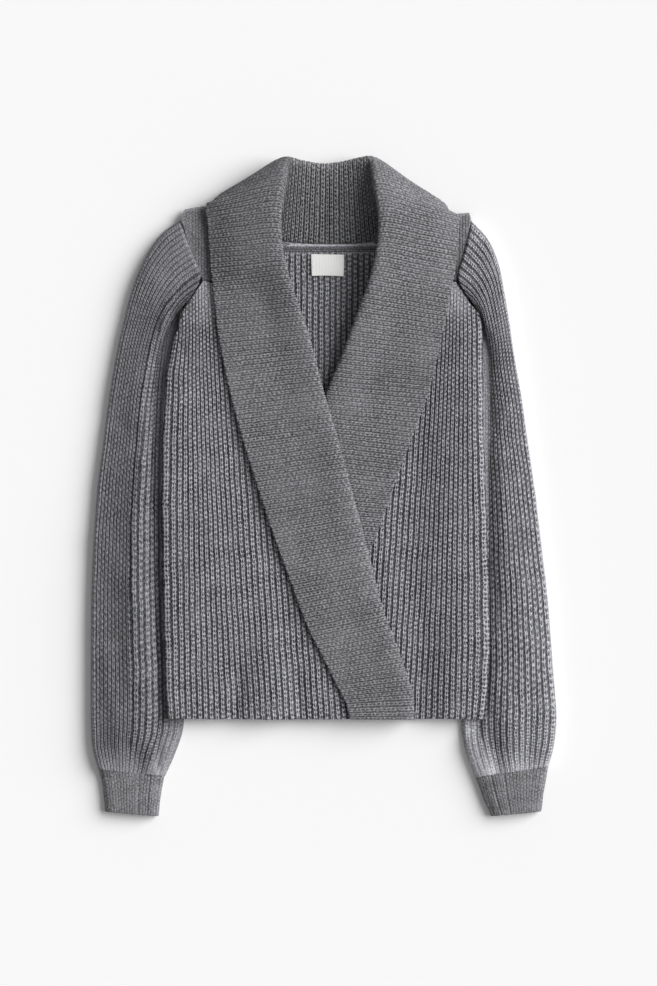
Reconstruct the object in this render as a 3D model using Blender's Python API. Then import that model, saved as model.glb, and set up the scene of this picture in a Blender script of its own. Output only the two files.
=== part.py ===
"""Wrap-front sweater with a wide shawl collar, laid flat with its front up.

Metres, +Z up, hem toward -Y, neck toward +Y. Plan positions are given on a cutting
chart, x to the right and y toward the hem; heights are millimetres above the surface
that the cloth rests on. All cloth is a closed wall with raised ribs on its outer face.
"""
import bpy
import numpy as np

CHART_UNIT_MM = 1.06
CHART_MIDDLE_X = 323.78
CHART_MIDDLE_Y = 486.64
MM = 0.001

HALF_WALL = 1.2
RIB_RISE = 1.4
SEAM_GAP = 2.8
FRONT_RIB_PITCH = 5.75
COLLAR_RIB_PITCH = 4.8
TRIM_THICKNESS = 1.1
LEFT_SLEEVE_RIBS = 18
RIGHT_SLEEVE_RIBS = 15
LEFT_SLEEVE_PUFF = 9.5
RIGHT_SLEEVE_PUFF = 2.5
TUBE_RIB_FADE = 6.0

HEM_Y = 718.5
SIDE_JOIN_Z = 11.75
SIDE_CURL = 9.0
SIDE_JOIN_GAP = 0.2
FRONT_LEVEL = 14.4
UNDER_LEVEL = 5.6
BACK_LEVEL = 1.2
BACK_SIDE_LEVEL = 9.1
OVER_LAYER_RISE = 4.8
SHOULDER_LIFT = 2.8
NECK_LIFT = 3.8

# Side edges of the body. Columns: chart y, left x, right x.
BODY_EDGES = (
    (212.0, 181.0, 475.0),
    (335.0, 176.5, 481.0),
    (371.0, 168.0, 481.5),
    (414.0, 164.6, 482.0),
    (460.0, 162.8, 483.0),
    (515.0, 162.0, 485.5),
    (589.0, 163.3, 488.5),
    (650.0, 165.0, 489.5),
    (690.0, 166.2, 487.0),
    (720.0, 168.4, 482.5),
)

# Upper end of the left front's ribs down to the collar seam. Columns: chart x, chart y.
LEFT_FRONT_TOP = (
    (165.0, 346.0),
    (176.0, 341.0),
    (184.0, 311.0),
    (191.0, 300.5),
    (197.0, 291.0),
    (204.0, 280.5),
    (212.0, 283.5),
    (243.0, 283.5),
)
RIGHT_FRONT_TOP = (
    (487.0, 346.0),
    (481.5, 341.0),
    (478.0, 314.0),
    (471.0, 306.0),
    (464.0, 295.6),
    (455.5, 282.5),
    (448.0, 282.5),
    (418.0, 283.5),
)

# Upper end of the back. Columns: chart x, chart y.
BACK_TOP = (
    (165.0, 346.0),
    (177.0, 341.0),
    (184.0, 329.5),
    (200.0, 287.0),
    (205.0, 240.0),
    (208.0, 220.5),
    (240.0, 229.0),
    (276.0, 241.4),
    (288.0, 243.9),
    (300.0, 244.7),
    (329.0, 244.7),
    (358.0, 244.3),
    (384.0, 241.2),
    (420.0, 230.6),
    (453.0, 222.5),
    (456.0, 240.0),
    (460.0, 287.0),
    (481.0, 340.0),
    (487.0, 346.0),
)

# Left collar half from the centre back round the neck to the hem.
# Columns: free edge x, y; roll x, y; then height of roll, fall middle and free edge.
# A middle x, y of the fall and the neck seam x, y, z follow for the neck rows.
LEFT_NECK = (
    (328.9, 236.0, 328.9, 168.2, 17.0, 328.9, 176.0, 4.0, 328.9, 243.4, 5.0, 2.5),
    (316.0, 234.0, 318.0, 168.0, 18.5, 317.0, 176.0, 4.2, 316.0, 243.2, 5.0, 2.5),
    (299.0, 230.0, 302.5, 165.6, 22.0, 300.0, 173.0, 5.0, 298.0, 242.6, 5.6, 2.5),
    (273.0, 222.0, 289.0, 162.0, 27.0, 273.0, 170.5, 8.0, 282.5, 240.4, 7.5, 2.5),
    (245.0, 213.0, 284.4, 166.5, 33.0, 243.0, 184.5, 10.0, 276.0, 238.0, 10.5, 2.5),
    (222.0, 208.0, 282.8, 178.0, 37.5, 221.0, 196.5, 12.5, 271.5, 237.0, 13.0, 4.5),
    (207.5, 205.5, 281.0, 191.0, 40.5, 228.0, 201.0, 27.0, 269.5, 238.5, 14.6, 16.5),
    (208.6, 224.0, 279.5, 216.0, 41.5, 235.0, 220.0, 32.0, 266.5, 247.0, 15.2, 20.5),
    (210.2, 247.0, 280.4, 243.0, 40.0, 238.0, 245.0, 31.5, 259.0, 262.0, 15.2, 20.5),
    (212.0, 272.0, 285.0, 266.0, 37.5, 242.0, 269.0, 30.0, 252.5, 279.0, 15.2, 20.2),
)
RIGHT_NECK = (
    (329.5, 236.0, 329.5, 168.2, 17.0, 329.5, 176.0, 4.0, 329.5, 243.4, 5.0, 2.5),
    (342.0, 234.0, 341.0, 167.0, 18.5, 341.0, 175.0, 4.2, 342.0, 243.2, 5.0, 2.5),
    (360.0, 230.0, 356.0, 163.5, 22.0, 358.0, 172.0, 5.0, 361.0, 242.6, 5.6, 2.5),
    (386.0, 224.0, 368.5, 161.8, 27.0, 383.0, 170.5, 8.0, 377.5, 241.0, 7.5, 2.5),
    (416.0, 218.0, 373.2, 167.5, 33.0, 414.0, 187.5, 10.0, 385.0, 239.5, 10.5, 2.5),
    (440.0, 215.5, 375.8, 179.0, 37.5, 441.0, 203.5, 12.5, 390.5, 239.0, 13.0, 4.5),
    (457.0, 216.5, 377.5, 193.0, 40.5, 432.0, 209.0, 27.0, 393.0, 240.5, 14.6, 16.5),
    (457.8, 229.0, 379.8, 213.0, 41.5, 427.0, 222.0, 32.0, 396.0, 248.0, 15.2, 20.5),
    (456.6, 249.0, 379.6, 236.0, 40.0, 424.0, 243.0, 31.5, 402.5, 262.0, 15.2, 20.5),
    (453.6, 275.0, 375.6, 262.0, 37.0, 419.0, 269.0, 29.0, 410.0, 279.0, 14.8, 19.8),
)

# Lower collar rows. Columns: free edge x, y; roll x, y; roll height above the seam.
LEFT_BAND = (
    (214.6, 300.0, 292.5, 292.0, 17.0),
    (218.0, 331.0, 303.0, 322.0, 13.0),
    (224.5, 366.0, 313.0, 356.0, 10.0),
    (232.5, 402.0, 322.0, 391.0, 8.0),
    (242.5, 438.0, 332.5, 426.0, 6.4),
    (253.0, 472.0, 341.5, 458.0, 5.4),
    (264.5, 508.0, 351.0, 494.0, 5.0),
    (275.5, 540.0, 359.5, 524.0, 4.8),
    (290.5, 581.0, 370.0, 565.0, 4.8),
    (307.0, 625.0, 381.5, 609.0, 4.8),
    (323.5, 658.0, 394.5, 644.0, 4.8),
    (336.5, 684.0, 405.0, 674.0, 4.8),
    (345.0, 700.0, 411.5, 695.0, 4.8),
    (350.5, 718.8, 412.6, 718.8, 4.8),
)
RIGHT_BAND = (
    (448.4, 303.0, 368.0, 288.0, 17.0),
    (442.6, 331.0, 357.0, 318.0, 12.5),
    (435.0, 366.0, 343.5, 355.0, 9.0),
    (427.2, 396.0, 330.0, 387.0, 5.0),
    (412.6, 436.0, 315.0, 425.0, 2.6),
    (397.6, 475.0, 303.0, 463.0, 2.6),
    (387.6, 505.0, 295.0, 497.0, 2.6),
    (377.0, 532.0, 288.0, 524.0, 2.6),
    (366.5, 560.0, 281.0, 552.0, 2.6),
    (350.0, 603.0, 268.0, 590.0, 2.6),
    (334.0, 640.0, 256.0, 628.0, 2.6),
    (317.0, 675.0, 246.0, 662.0, 2.6),
    (299.0, 714.0, 238.0, 714.0, 2.6),
)
SEAM_SHARE = 0.45
LAYER_SPACE = {1: 6.6, 2: 4.9}
NECK_RIB_ROWS = 7.0
ROLL_ROUNDNESS = 4.0
MOST_ROUNDNESS = 19.0

# Places of the wall's columns round a collar section: 0 is the neck seam, 1 the roll,
# 2 the middle of the fall and 3 the free edge.
COLLAR_COLUMNS = (0.0, 0.5, 0.85, 1.0, 1.14, 1.45, 2.0, 3.0)

# Sleeve rings, cuff to shoulder. Columns: outer x, y; inner x, y; bow toward the body.
LEFT_SLEEVE = (
    (97.4, 769.0, 165.6, 776.0, 0.0),
    (91.5, 746.0, 177.0, 750.0, 0.0),
    (90.0, 715.0, 184.5, 722.0, 0.0),
    (90.0, 660.0, 184.0, 672.0, 0.0),
    (90.5, 600.0, 181.0, 613.0, 0.0),
    (92.5, 545.0, 179.0, 560.0, 0.0),
    (96.5, 490.0, 177.5, 508.0, 0.0),
    (102.5, 442.0, 176.5, 462.0, 0.5),
    (108.5, 396.0, 176.0, 420.0, 1.0),
    (116.0, 352.0, 176.2, 385.0, 2.5),
    (123.5, 318.0, 176.4, 364.0, 5.0),
    (132.5, 285.0, 176.4, 353.0, 9.0),
    (145.0, 256.0, 176.4, 346.5, 14.0),
    (161.0, 233.5, 176.4, 342.0, 19.0),
    (179.5, 219.5, 176.4, 338.0, 21.8),
)
RIGHT_SLEEVE = (
    (549.6, 766.0, 474.0, 777.0, 0.0),
    (555.0, 745.0, 464.5, 750.0, 0.0),
    (557.6, 715.0, 460.5, 722.0, 0.0),
    (553.5, 660.0, 466.5, 672.0, 0.0),
    (549.0, 600.0, 468.0, 613.0, 0.0),
    (542.5, 545.0, 469.5, 560.0, 0.0),
    (536.0, 490.0, 470.5, 508.0, 0.0),
    (529.0, 442.0, 471.5, 462.0, 0.5),
    (522.5, 396.0, 474.0, 420.0, 1.0),
    (515.5, 356.0, 477.0, 385.0, 2.5),
    (510.5, 322.0, 479.6, 364.0, 4.0),
    (505.0, 290.0, 481.0, 353.0, 7.0),
    (499.0, 262.0, 481.6, 346.5, 10.0),
    (488.5, 238.0, 482.0, 342.0, 15.0),
    (471.5, 219.5, 482.0, 338.0, 18.0),
)
LEFT_CUFF = (
    (98.6, 769.5, 165.0, 776.5),
    (101.6, 781.0, 162.8, 787.0),
    (103.4, 793.0, 160.6, 801.0),
    (104.6, 806.0, 159.8, 810.5),
    (105.0, 811.0, 159.0, 815.8),
)
RIGHT_CUFF = (
    (548.4, 766.5, 474.8, 777.5),
    (546.0, 780.0, 479.5, 789.0),
    (543.6, 793.0, 484.0, 801.5),
    (542.2, 806.0, 488.6, 811.0),
    (541.2, 811.0, 490.4, 815.8),
)

# Flattened sleeve. Columns: distance from the edge, height of the upper layer.
SLEEVE_OUTER_RISE = ((0, 5.6), (1.2, 9.2), (4, 12.2), (10, 15.0), (22, 16.8), (60, 17.2))
SLEEVE_INNER_RISE = ((0, 3.7), (1.2, 5.2), (4, 6.1), (26, 6.2), (36, 10.5), (48, 14.5), (62, 17.2))
SLEEVE_LOWER_RISE = ((0, 3.7), (1.2, 2.3), (4, 1.4), (8, 1.2), (60, 1.2))
CUFF_RISE = ((0, 4.8), (1.2, 7.4), (4, 9.6), (10, 11.2), (24, 12.0), (60, 12.0))
RIBS_END_INSIDE = 26.0

# Inner side of a sleeve where the body does not lie over it. Columns: mm from the edge, mm high.
SLEEVE_OPEN_RISE = ((0, 3.9), (1.2, 7.2), (4, 10.2), (10, 12.4), (26, 14.2), (62, 17.2))

# Extra height of a puffed sleeve, as a share of its puff. Columns: mm from the outer edge, share.
PUFF_SHAPE = ((0, 0.0), (10, -0.12), (22, 0.35), (36, 1.0), (46, 0.92), (60, 0.4), (74, 0.0))

# Where ribs crowd together on the far slope of a sleeve. Columns: share of ribs, share of width.
LEFT_RIB_SPREAD = ((0.0, 0.0), (0.53, 0.43), (1.0, 1.0))
RIGHT_RIB_SPREAD = ((0.0, 0.0), (1.0, 1.0))

# Armhole outline. Columns: share from the shoulder to the underarm, share of the bow.
ARMHOLE_BOW = (
    (0.0, 0.0),
    (0.1, 0.2),
    (0.23, 0.43),
    (0.33, 0.66),
    (0.42, 0.88),
    (0.48, 0.96),
    (0.55, 0.88),
    (0.62, 0.66),
    (0.69, 0.38),
    (0.76, 0.15),
    (0.85, 0.04),
    (1.0, 0.0),
)

# Yoke wedges. Columns: chart y and x of the sleeve end, neck end x and y, height and
# how far the row bows toward the neck.
LEFT_YOKE = (
    (209.6, 186.0, 262.0, 236.5, 7.2, 9.5),
    (219.0, 183.0, 262.0, 241.0, 11.6, 5.0),
    (231.0, 186.0, 260.0, 247.5, 14.0, 2.0),
    (247.0, 190.0, 255.5, 256.5, 14.6, 0.0),
    (260.0, 195.0, 250.6, 267.0, 14.4, 0.0),
    (278.0, 204.0, 245.0, 280.0, 14.4, 0.0),
)
RIGHT_YOKE = (
    (213.0, 468.0, 401.5, 238.0, 7.2, 4.5),
    (221.0, 469.6, 401.5, 242.0, 11.6, 2.5),
    (231.0, 467.2, 403.5, 248.5, 14.0, 0.0),
    (243.0, 464.6, 407.5, 256.5, 14.6, 0.0),
    (256.0, 461.0, 412.5, 266.5, 14.4, 0.0),
    (278.0, 455.2, 418.0, 280.0, 14.2, 0.0),
)
YOKE_BOW = ((0.0, 0.0), (0.24, 1.0), (0.6, 0.4), (1.0, 0.0))

TAPE_BOX = (282.0, 377.0, 246.8, 252.0)
LABEL_BOX = (311.2, 344.0, 254.4, 276.2)

# Places of the lines along a flattened tube, as shares of its width.
TUBE_TURN = (0.0, 0.015, 0.045)
RIBBED_SHARE = (0.09, 0.955)
PLAIN_SHARE = (0.12, 0.88)
TUBE_UNDERSIDE = (1.0, 0.985, 0.93, 0.7, 0.3, 0.07, 0.015)
TUBE_INSIDE = (0.0, 0.015, 0.045, 0.15, 0.32, 0.5, 0.64, 0.76, 0.9, 0.985)

# Panel columns: from the side to the middle by ribs, then plain ones under the band. Chart x.
LEFT_PANEL_X = (168.4, 354.0)
LEFT_PLAIN_X = (360.0, 368.0, 376.0)
RIGHT_PANEL_X = (482.5, 342.0)
RIGHT_PLAIN_X = (336.0, 328.0, 318.0, 308.0, 298.0, 288.0, 279.0)
RIGHT_COLLAR_RIB_ROWS = 8


def chart_to_mm(x, y, z):
    """Chart place and height in millimetres as one array of points."""
    x, y, z = np.broadcast_arrays(x, y, z)
    return np.stack(
        [
            (x - CHART_MIDDLE_X) * CHART_UNIT_MM,
            (CHART_MIDDLE_Y - y) * CHART_UNIT_MM,
            z.astype(float),
        ],
        axis=-1,
    )


def column(table, index):
    return np.array([row[index] for row in table], float)


def smooth(value):
    """0 to 1 with level ends."""
    value = np.clip(value, 0.0, 1.0)
    return value * value * (3.0 - 2.0 * value)


def curve_rows(table, places):
    """Rows of a table at fractional row places, through each row without corners."""
    table = np.asarray(table, float)
    last = len(table) - 1
    places = np.clip(places, 0.0, last)
    low = np.minimum(places.astype(int), last - 1)
    part = (places - low)[:, None]
    before = table[np.maximum(low - 1, 0)]
    start, end = table[low], table[low + 1]
    after = table[np.minimum(low + 2, last)]
    pull = end - before
    lead = after - start
    a = 2 * start - 2 * end + 0.5 * pull + 0.5 * lead
    b = -3 * start + 3 * end - pull - 0.5 * lead
    return ((a * part + b) * part + 0.5 * pull) * part + start


class Wall:
    """Faces of one closed wall, gathered from grids of points and joined at their rims."""

    def __init__(self):
        self.points = []
        self.faces = []
        self.count = 0

    def grid(self, points, outward, wrap=False):
        rows, columns = points.shape[:2]
        places = self.count + np.arange(rows * columns).reshape(rows, columns)
        self.points.append(points.reshape(-1, 3))
        self.count += rows * columns
        turned = np.concatenate([places, places[:, :1]], axis=1) if wrap else places
        for r in range(rows - 1):
            for c in range(turned.shape[1] - 1):
                face = [turned[r, c], turned[r, c + 1], turned[r + 1, c + 1], turned[r + 1, c]]
                self.faces.append(face if outward else face[::-1])
        return places

    def strip(self, first, second, outward):
        """Triangles between two rims that may hold different numbers of points."""
        i, j = 0, 0
        ends = len(first) - 1, len(second) - 1
        while i < ends[0] or j < ends[1]:
            step_first = j == ends[1] or (i < ends[0] and (i + 1) * ends[1] <= (j + 1) * ends[0])
            if step_first:
                face = [first[i], second[j], first[i + 1]]
                i += 1
            else:
                face = [first[i], second[j], second[j + 1]]
                j += 1
            self.faces.append(face if outward else face[::-1])

    def close_sheet(self, outer, inner):
        self.strip(outer[0], inner[0], True)
        self.strip(outer[-1], inner[-1], False)
        self.strip(outer[:, 0], inner[:, 0], False)
        self.strip(outer[:, -1], inner[:, -1], True)

    def close_tube(self, outer, inner):
        rims = [np.append(ring, ring[0]) for ring in (outer[0], inner[0], outer[-1], inner[-1])]
        self.strip(rims[0], rims[1], True)
        self.strip(rims[2], rims[3], False)

    def volume(self, points):
        total = 0.0
        for face in self.faces:
            for second, third in zip(face[1:], face[2:]):
                total += np.dot(points[face[0]], np.cross(points[second], points[third]))
        return total

    def build(self, name, material):
        """The wall as an object whose faces all point out of the cloth."""
        points = np.concatenate(self.points)
        outward = self.volume(points) > 0.0
        faces = [[int(v) for v in (face if outward else face[::-1])] for face in self.faces]
        mesh = bpy.data.meshes.new(name)
        mesh.from_pydata((points * MM).tolist(), [], faces)
        mesh.validate()
        mesh.materials.append(material)
        mesh.polygons.foreach_set("use_smooth", [True] * len(mesh.polygons))
        mesh.update()
        thing = bpy.data.objects.new(name, mesh)
        SWEATER.objects.link(thing)
        return thing


def new_material(name, colour, roughness):
    material = bpy.data.materials.new(name)
    material.use_nodes = True
    shader = material.node_tree.nodes["Principled BSDF"]
    shader.inputs["Base Color"].default_value = (*colour, 1.0)
    shader.inputs["Roughness"].default_value = roughness
    material.diffuse_color = (*colour, 1.0)
    return material


def edge_x(y, side):
    return np.interp(y, column(BODY_EDGES, 0), column(BODY_EDGES, side))


def front_level(x, y, side):
    """Height of a front's middle layer before its side edge curls down."""
    inside = np.abs(x - edge_x(y, side)) * CHART_UNIT_MM
    if side == 1:
        return np.full(np.shape(inside), FRONT_LEVEL)
    inner = FRONT_LEVEL + (UNDER_LEVEL - FRONT_LEVEL) * smooth((y - 285.0) / 140.0)
    return FRONT_LEVEL + (inner - FRONT_LEVEL) * smooth((inside - 24.0) / 52.0)


def back_level(x, y):
    """Height of the back's middle layer: raised over the sleeves and at its upper end."""
    inside = np.minimum(x - edge_x(y, 1), edge_x(y, 2) - x) * CHART_UNIT_MM
    over_sleeve = smooth((y - 296.0) / 44.0)
    side = (BACK_SIDE_LEVEL - BACK_LEVEL) * (1.0 - smooth((inside - 27.0) / 34.0)) * over_sleeve
    top = np.interp(x, column(BACK_TOP, 0), column(BACK_TOP, 1))
    below = np.exp(-np.maximum(y - top, 0.0) / 14.0)
    lift = SHOULDER_LIFT + (NECK_LIFT - SHOULDER_LIFT) * smooth((inside - 88.0) / 25.0)
    return BACK_LEVEL + side + lift * below * smooth((inside - 8.0) / 20.0)


def curled(x, y, level, side, facing):
    """Middle points and outward normals of a body panel whose side edge turns to the join."""
    sign = 1.0 if side == 1 else -1.0
    inside = np.maximum((x - edge_x(y, side)) * sign * CHART_UNIT_MM - HALF_WALL, 0.0)
    share = np.arccos(np.clip(1.0 - inside / SIDE_CURL, 0.0, 1.0))
    join = SIDE_JOIN_Z + facing * SIDE_JOIN_GAP
    z = join + (level - join) * np.sin(share)
    across = np.abs(level - join) * np.cos(share)
    up = SIDE_CURL * np.sin(share)
    size = np.hypot(across, up)
    flat = inside >= SIDE_CURL
    nx = np.where(flat, 0.0, -sign * across / size)
    nz = np.where(flat, 1.0, up / size)
    normal = np.stack([nx, np.zeros_like(nx), nz * facing], axis=-1)
    return chart_to_mm(x, y, z), normal


def column_lines(hem_x, lean, top, hem_y, fractions, side, follow=14.0):
    """Plan places of wall columns that run from the hem to a panel's upper end."""
    order = np.argsort(column(top, 0))
    top_x, top_y = column(top, 0)[order], column(top, 1)[order]
    start_edge = edge_x(hem_y, side)
    keep = np.exp(-np.abs(hem_x - start_edge) / follow)
    y_end = np.full(len(hem_x), 400.0)
    for _ in range(60):
        x_end = hem_x - lean * (hem_y - y_end) + keep * (edge_x(y_end, side) - start_edge)
        y_end = 0.5 * y_end + 0.5 * np.interp(x_end, top_x, top_y)
    y = hem_y + (y_end - hem_y) * np.asarray(fractions)[:, None]
    x = hem_x - lean * (hem_y - y) + keep * (edge_x(y, side) - start_edge)
    return x, y


def seam_of(band):
    """Plan line of the seam under a collar band."""
    rows = np.array(band, float)
    return rows[:, 2:4] + SEAM_SHARE * (rows[:, 0:2] - rows[:, 2:4])


def make_front(name, side, hem_x_ribs, hem_x_plain, top, band, material):
    sign = 1.0 if side == 1 else -1.0
    seam = seam_of(band)
    top = list(top) + [(x - sign * SEAM_GAP, y) for x, y in seam]
    columns = np.concatenate([hem_x_ribs, hem_x_plain])
    away = np.abs(columns - columns[0])
    lean = sign * 0.062 * smooth(away / 90.0)
    fractions = (0.0, 0.14, 0.28, 0.42, 0.56, 0.7, 0.85, 1.0)
    x, y = column_lines(columns, lean, top, HEM_Y, fractions, side)
    middle, normal = curled(x, y, front_level(x, y, side), side, 1.0)
    rib = np.zeros(len(columns))
    rib[1 : len(hem_x_ribs) : 2] = RIB_RISE
    wall = Wall()
    outer = wall.grid(middle + normal * (HALF_WALL + rib)[None, :, None], True)
    thin = np.unique(np.concatenate([[0, 1, 2, 3], np.arange(4, len(columns), 5), [len(columns) - 1]]))
    inner = wall.grid((middle - normal * HALF_WALL)[:, thin], False)
    wall.close_sheet(outer, inner)
    return wall.build(name, material)


def make_back(material):
    ribs = np.arange(272.0, 388.1, FRONT_RIB_PITCH / 2)
    left = np.array([168.4, 171.0, 174.5, 180.0, 194.0, 205.0, 216.0, 232.0, 252.0])
    right = np.array([405.0, 425.0, 438.0, 449.0, 462.0, 472.0, 476.5, 480.0, 482.5])
    columns = np.concatenate([left, ribs, right])
    fractions = (0.0, 0.16, 0.34, 0.52, 0.68, 0.78, 0.88, 0.95, 0.98, 1.0)
    half = len(columns) // 2
    lean = np.zeros(len(columns))
    x_left, y_left = column_lines(columns[:half], lean[:half], BACK_TOP, HEM_Y, fractions, 1)
    x_right, y_right = column_lines(columns[half:], lean[half:], BACK_TOP, HEM_Y, fractions, 2)
    x, y = np.concatenate([x_left, x_right], axis=1), np.concatenate([y_left, y_right], axis=1)
    level = back_level(x, y)
    left_part = curled(x[:, :half], y[:, :half], level[:, :half], 1, -1.0)
    right_part = curled(x[:, half:], y[:, half:], level[:, half:], 2, -1.0)
    middle = np.concatenate([left_part[0], right_part[0]], axis=1)
    down = np.concatenate([left_part[1], right_part[1]], axis=1)
    rib = np.zeros(len(columns))
    rib[len(left) : len(left) + len(ribs)][1::2] = RIB_RISE
    open_part = smooth((y - 253.0) / 4.0)
    wall = Wall()
    inside = wall.grid(middle - down * (HALF_WALL + rib[None, :] * open_part)[:, :, None], True)
    thin = np.concatenate([np.arange(len(left)), np.arange(len(left) + 4, len(left) + len(ribs) - 2, 6)])
    thin = np.concatenate([thin, np.arange(len(left) + len(ribs), len(columns))])
    outside = wall.grid((middle + down * HALF_WALL)[:, thin], False)
    wall.close_sheet(inside, outside)
    return wall.build("back", material)


def neck_rows(table):
    """Seam, roll, fall middle and free edge of the neck's collar sections, in millimetres."""
    rows = []
    for fx, fy, rx, ry, rz, mx, my, mz, sx, sy, sz, fz in table:
        x, y, z = np.array([sx, rx, mx, fx]), np.array([sy, ry, my, fy]), np.array([sz, rz, mz, fz])
        rows.append([*chart_to_mm(x, y, z)])
    return np.array(rows)


def band_rows(table, side, level_of):
    rows = []
    for fx, fy, rx, ry, rise in table:
        sx, sy = rx + SEAM_SHARE * (fx - rx), ry + SEAM_SHARE * (fy - ry)
        mx, my = sx, sy
        seam_z = level_of(sx, sy)
        free_z = level_of(fx, fy) + OVER_LAYER_RISE
        roll_z = seam_z + rise
        middle_z = max(0.45 * roll_z + 0.55 * free_z + 0.2, seam_z + LAYER_SPACE[side])
        heights = np.array([seam_z, roll_z, middle_z, free_z])
        rows.append([*chart_to_mm(np.array([sx, rx, mx, fx]), np.array([sy, ry, my, fy]), heights)])
    return np.array(rows)


def collar_sections(stations, places, columns):
    """Points round each collar section: straight-ended curve with a rounded roll."""
    rows = curve_rows(stations.reshape(len(stations), -1), places).reshape(len(places), 4, 3)
    seam, roll, fall, free = rows[:, 0], rows[:, 1], rows[:, 2], rows[:, 3]
    turn = fall - seam
    roundness = np.clip(ROLL_ROUNDNESS * (roll - seam)[:, 2:3], 6.0, MOST_ROUNDNESS)
    turn = turn / np.linalg.norm(turn, axis=1)[:, None] * roundness
    sweep = (free - roll) * 0.45
    out = []
    for place in columns:
        if place <= 1.0:
            start, end, leave, arrive, t = seam, roll, (roll - seam) * 0.9, turn, place
        elif place <= 2.0:
            start, end, leave, arrive, t = roll, fall, turn, sweep, place - 1.0
        else:
            start, end, leave, arrive, t = fall, free, sweep, (free - fall), place - 2.0
        h01 = t * t * (3.0 - 2.0 * t)
        h10, h11 = t * (1.0 - t) ** 2, t * t * (t - 1.0)
        out.append(start * (1.0 - h01) + end * h01 + leave * h10 + arrive * h11)
    return np.stack(out, axis=1)


def sheet_normals(points):
    along = np.gradient(points, axis=0)
    across = np.gradient(points, axis=1)
    normal = np.cross(across, along)
    return normal / np.linalg.norm(normal, axis=2)[:, :, None]


def make_collar(name, neck, band, side, rib_end, material):
    level_of = (lambda x, y: front_level(np.array(x), np.array(y), side).item())
    stations = np.concatenate([neck_rows(neck), band_rows(band, side, level_of)])
    middles = stations[:, 1:3].mean(axis=1)
    spans = np.concatenate([[0.0], np.cumsum(np.linalg.norm(np.diff(middles, axis=0), axis=1))])
    ribbed = np.interp(rib_end, np.arange(len(stations)), spans)
    pitch = COLLAR_RIB_PITCH * CHART_UNIT_MM
    count = int(ribbed / pitch)
    lengths = np.linspace(0.0, ribbed, 2 * count + 1)
    relief = np.zeros(len(lengths))
    relief[1::2] = 0.75 * RIB_RISE
    if rib_end < len(stations) - 1:
        extra = np.linspace(ribbed, spans[-1], 8)[1:]
        lengths = np.concatenate([lengths, extra])
        relief = np.concatenate([relief, np.zeros(len(extra))])
    places = np.interp(lengths, spans, np.arange(len(stations)))
    coarse = np.append(places[:-1:10], places[-1])
    sign = 1.0 if side == 1 else -1.0
    columns = np.array(COLLAR_COLUMNS)
    fine = collar_sections(stations, places, columns)
    plain = collar_sections(stations, coarse, columns)
    stand = smooth((NECK_RIB_ROWS - places[:, None]) / 1.5)
    face = np.where(columns >= 0.85, 1.0, stand)
    wall = Wall()
    out = sign * sheet_normals(fine) * (HALF_WALL + relief[:, None] * face)[:, :, None]
    outer = wall.grid(fine + out, True)
    inner = wall.grid(plain - sign * sheet_normals(plain) * HALF_WALL, False)
    wall.close_sheet(outer, inner)
    return wall.build(name, material)


def tube_rings(table, share, upper_of, lower_of):
    """Middle points of rings across the upper layer then back along the lower one."""
    rows = np.array(table, float)
    if rows.shape[1] == 4:
        rows = np.concatenate([rows, np.zeros((len(rows), 1))], axis=1)
    rings = []
    for ax, ay, bx, by, bow in rows:
        width = np.hypot(bx - ax, by - ay) * CHART_UNIT_MM
        inset = (HALF_WALL + 0.4) / width
        t = inset + (1.0 - 2.0 * inset) * share
        sign = 1.0 if ax < CHART_MIDDLE_X else -1.0
        x = ax + (bx - ax) * t + sign * bow * table_height(ARMHOLE_BOW, t)
        y = ay + (by - ay) * t
        span = width - 2.0 * inset * width
        up = upper_of(share * span, (1.0 - share) * span, x, y)
        low = lower_of(share * span, (1.0 - share) * span)
        rings.append((chart_to_mm(x, y, up), chart_to_mm(x, y, low)))
    return rings


def table_height(table, distance):
    return np.interp(distance, column(table, 0), column(table, 1))


def sleeve_upper(outer, inner, x, y):
    """Low beside the body that lies over it, rounder above the armhole and below the hem."""
    covered = smooth((y - 288.0) / 20.0) * (1.0 - smooth((y - 722.0) / 30.0))
    low, free = table_height(SLEEVE_INNER_RISE, inner), table_height(SLEEVE_OPEN_RISE, inner)
    height = np.minimum(table_height(SLEEVE_OUTER_RISE, outer), free + (low - free) * covered)
    puff = np.where(x < CHART_MIDDLE_X, LEFT_SLEEVE_PUFF, RIGHT_SLEEVE_PUFF)
    puff = puff * smooth((y - 262.0) / 70.0) * (1.0 - smooth((y - 730.0) / 40.0))
    height = height + puff * table_height(PUFF_SHAPE, outer) * smooth((inner - 24.0) / 16.0)
    end = smooth((y - 735.0) / 36.0)
    return height + (np.minimum(height, CUFF_RISE[-1][1]) - height) * end


def sleeve_lower(outer, inner):
    near_outer = table_height(SLEEVE_LOWER_RISE, outer) + 1.9 * np.clip(1.0 - outer / 1.2, 0.0, 1.0)
    return np.maximum(near_outer, table_height(SLEEVE_LOWER_RISE, inner))


def cuff_upper(outer, inner, x, y):
    return np.minimum(table_height(CUFF_RISE, outer), table_height(CUFF_RISE, inner))


def cuff_lower(outer, inner):
    edge = np.minimum(outer, inner)
    return table_height(SLEEVE_LOWER_RISE, edge) + 1.1 * np.clip(1.0 - edge / 1.2, 0.0, 1.0)


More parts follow.
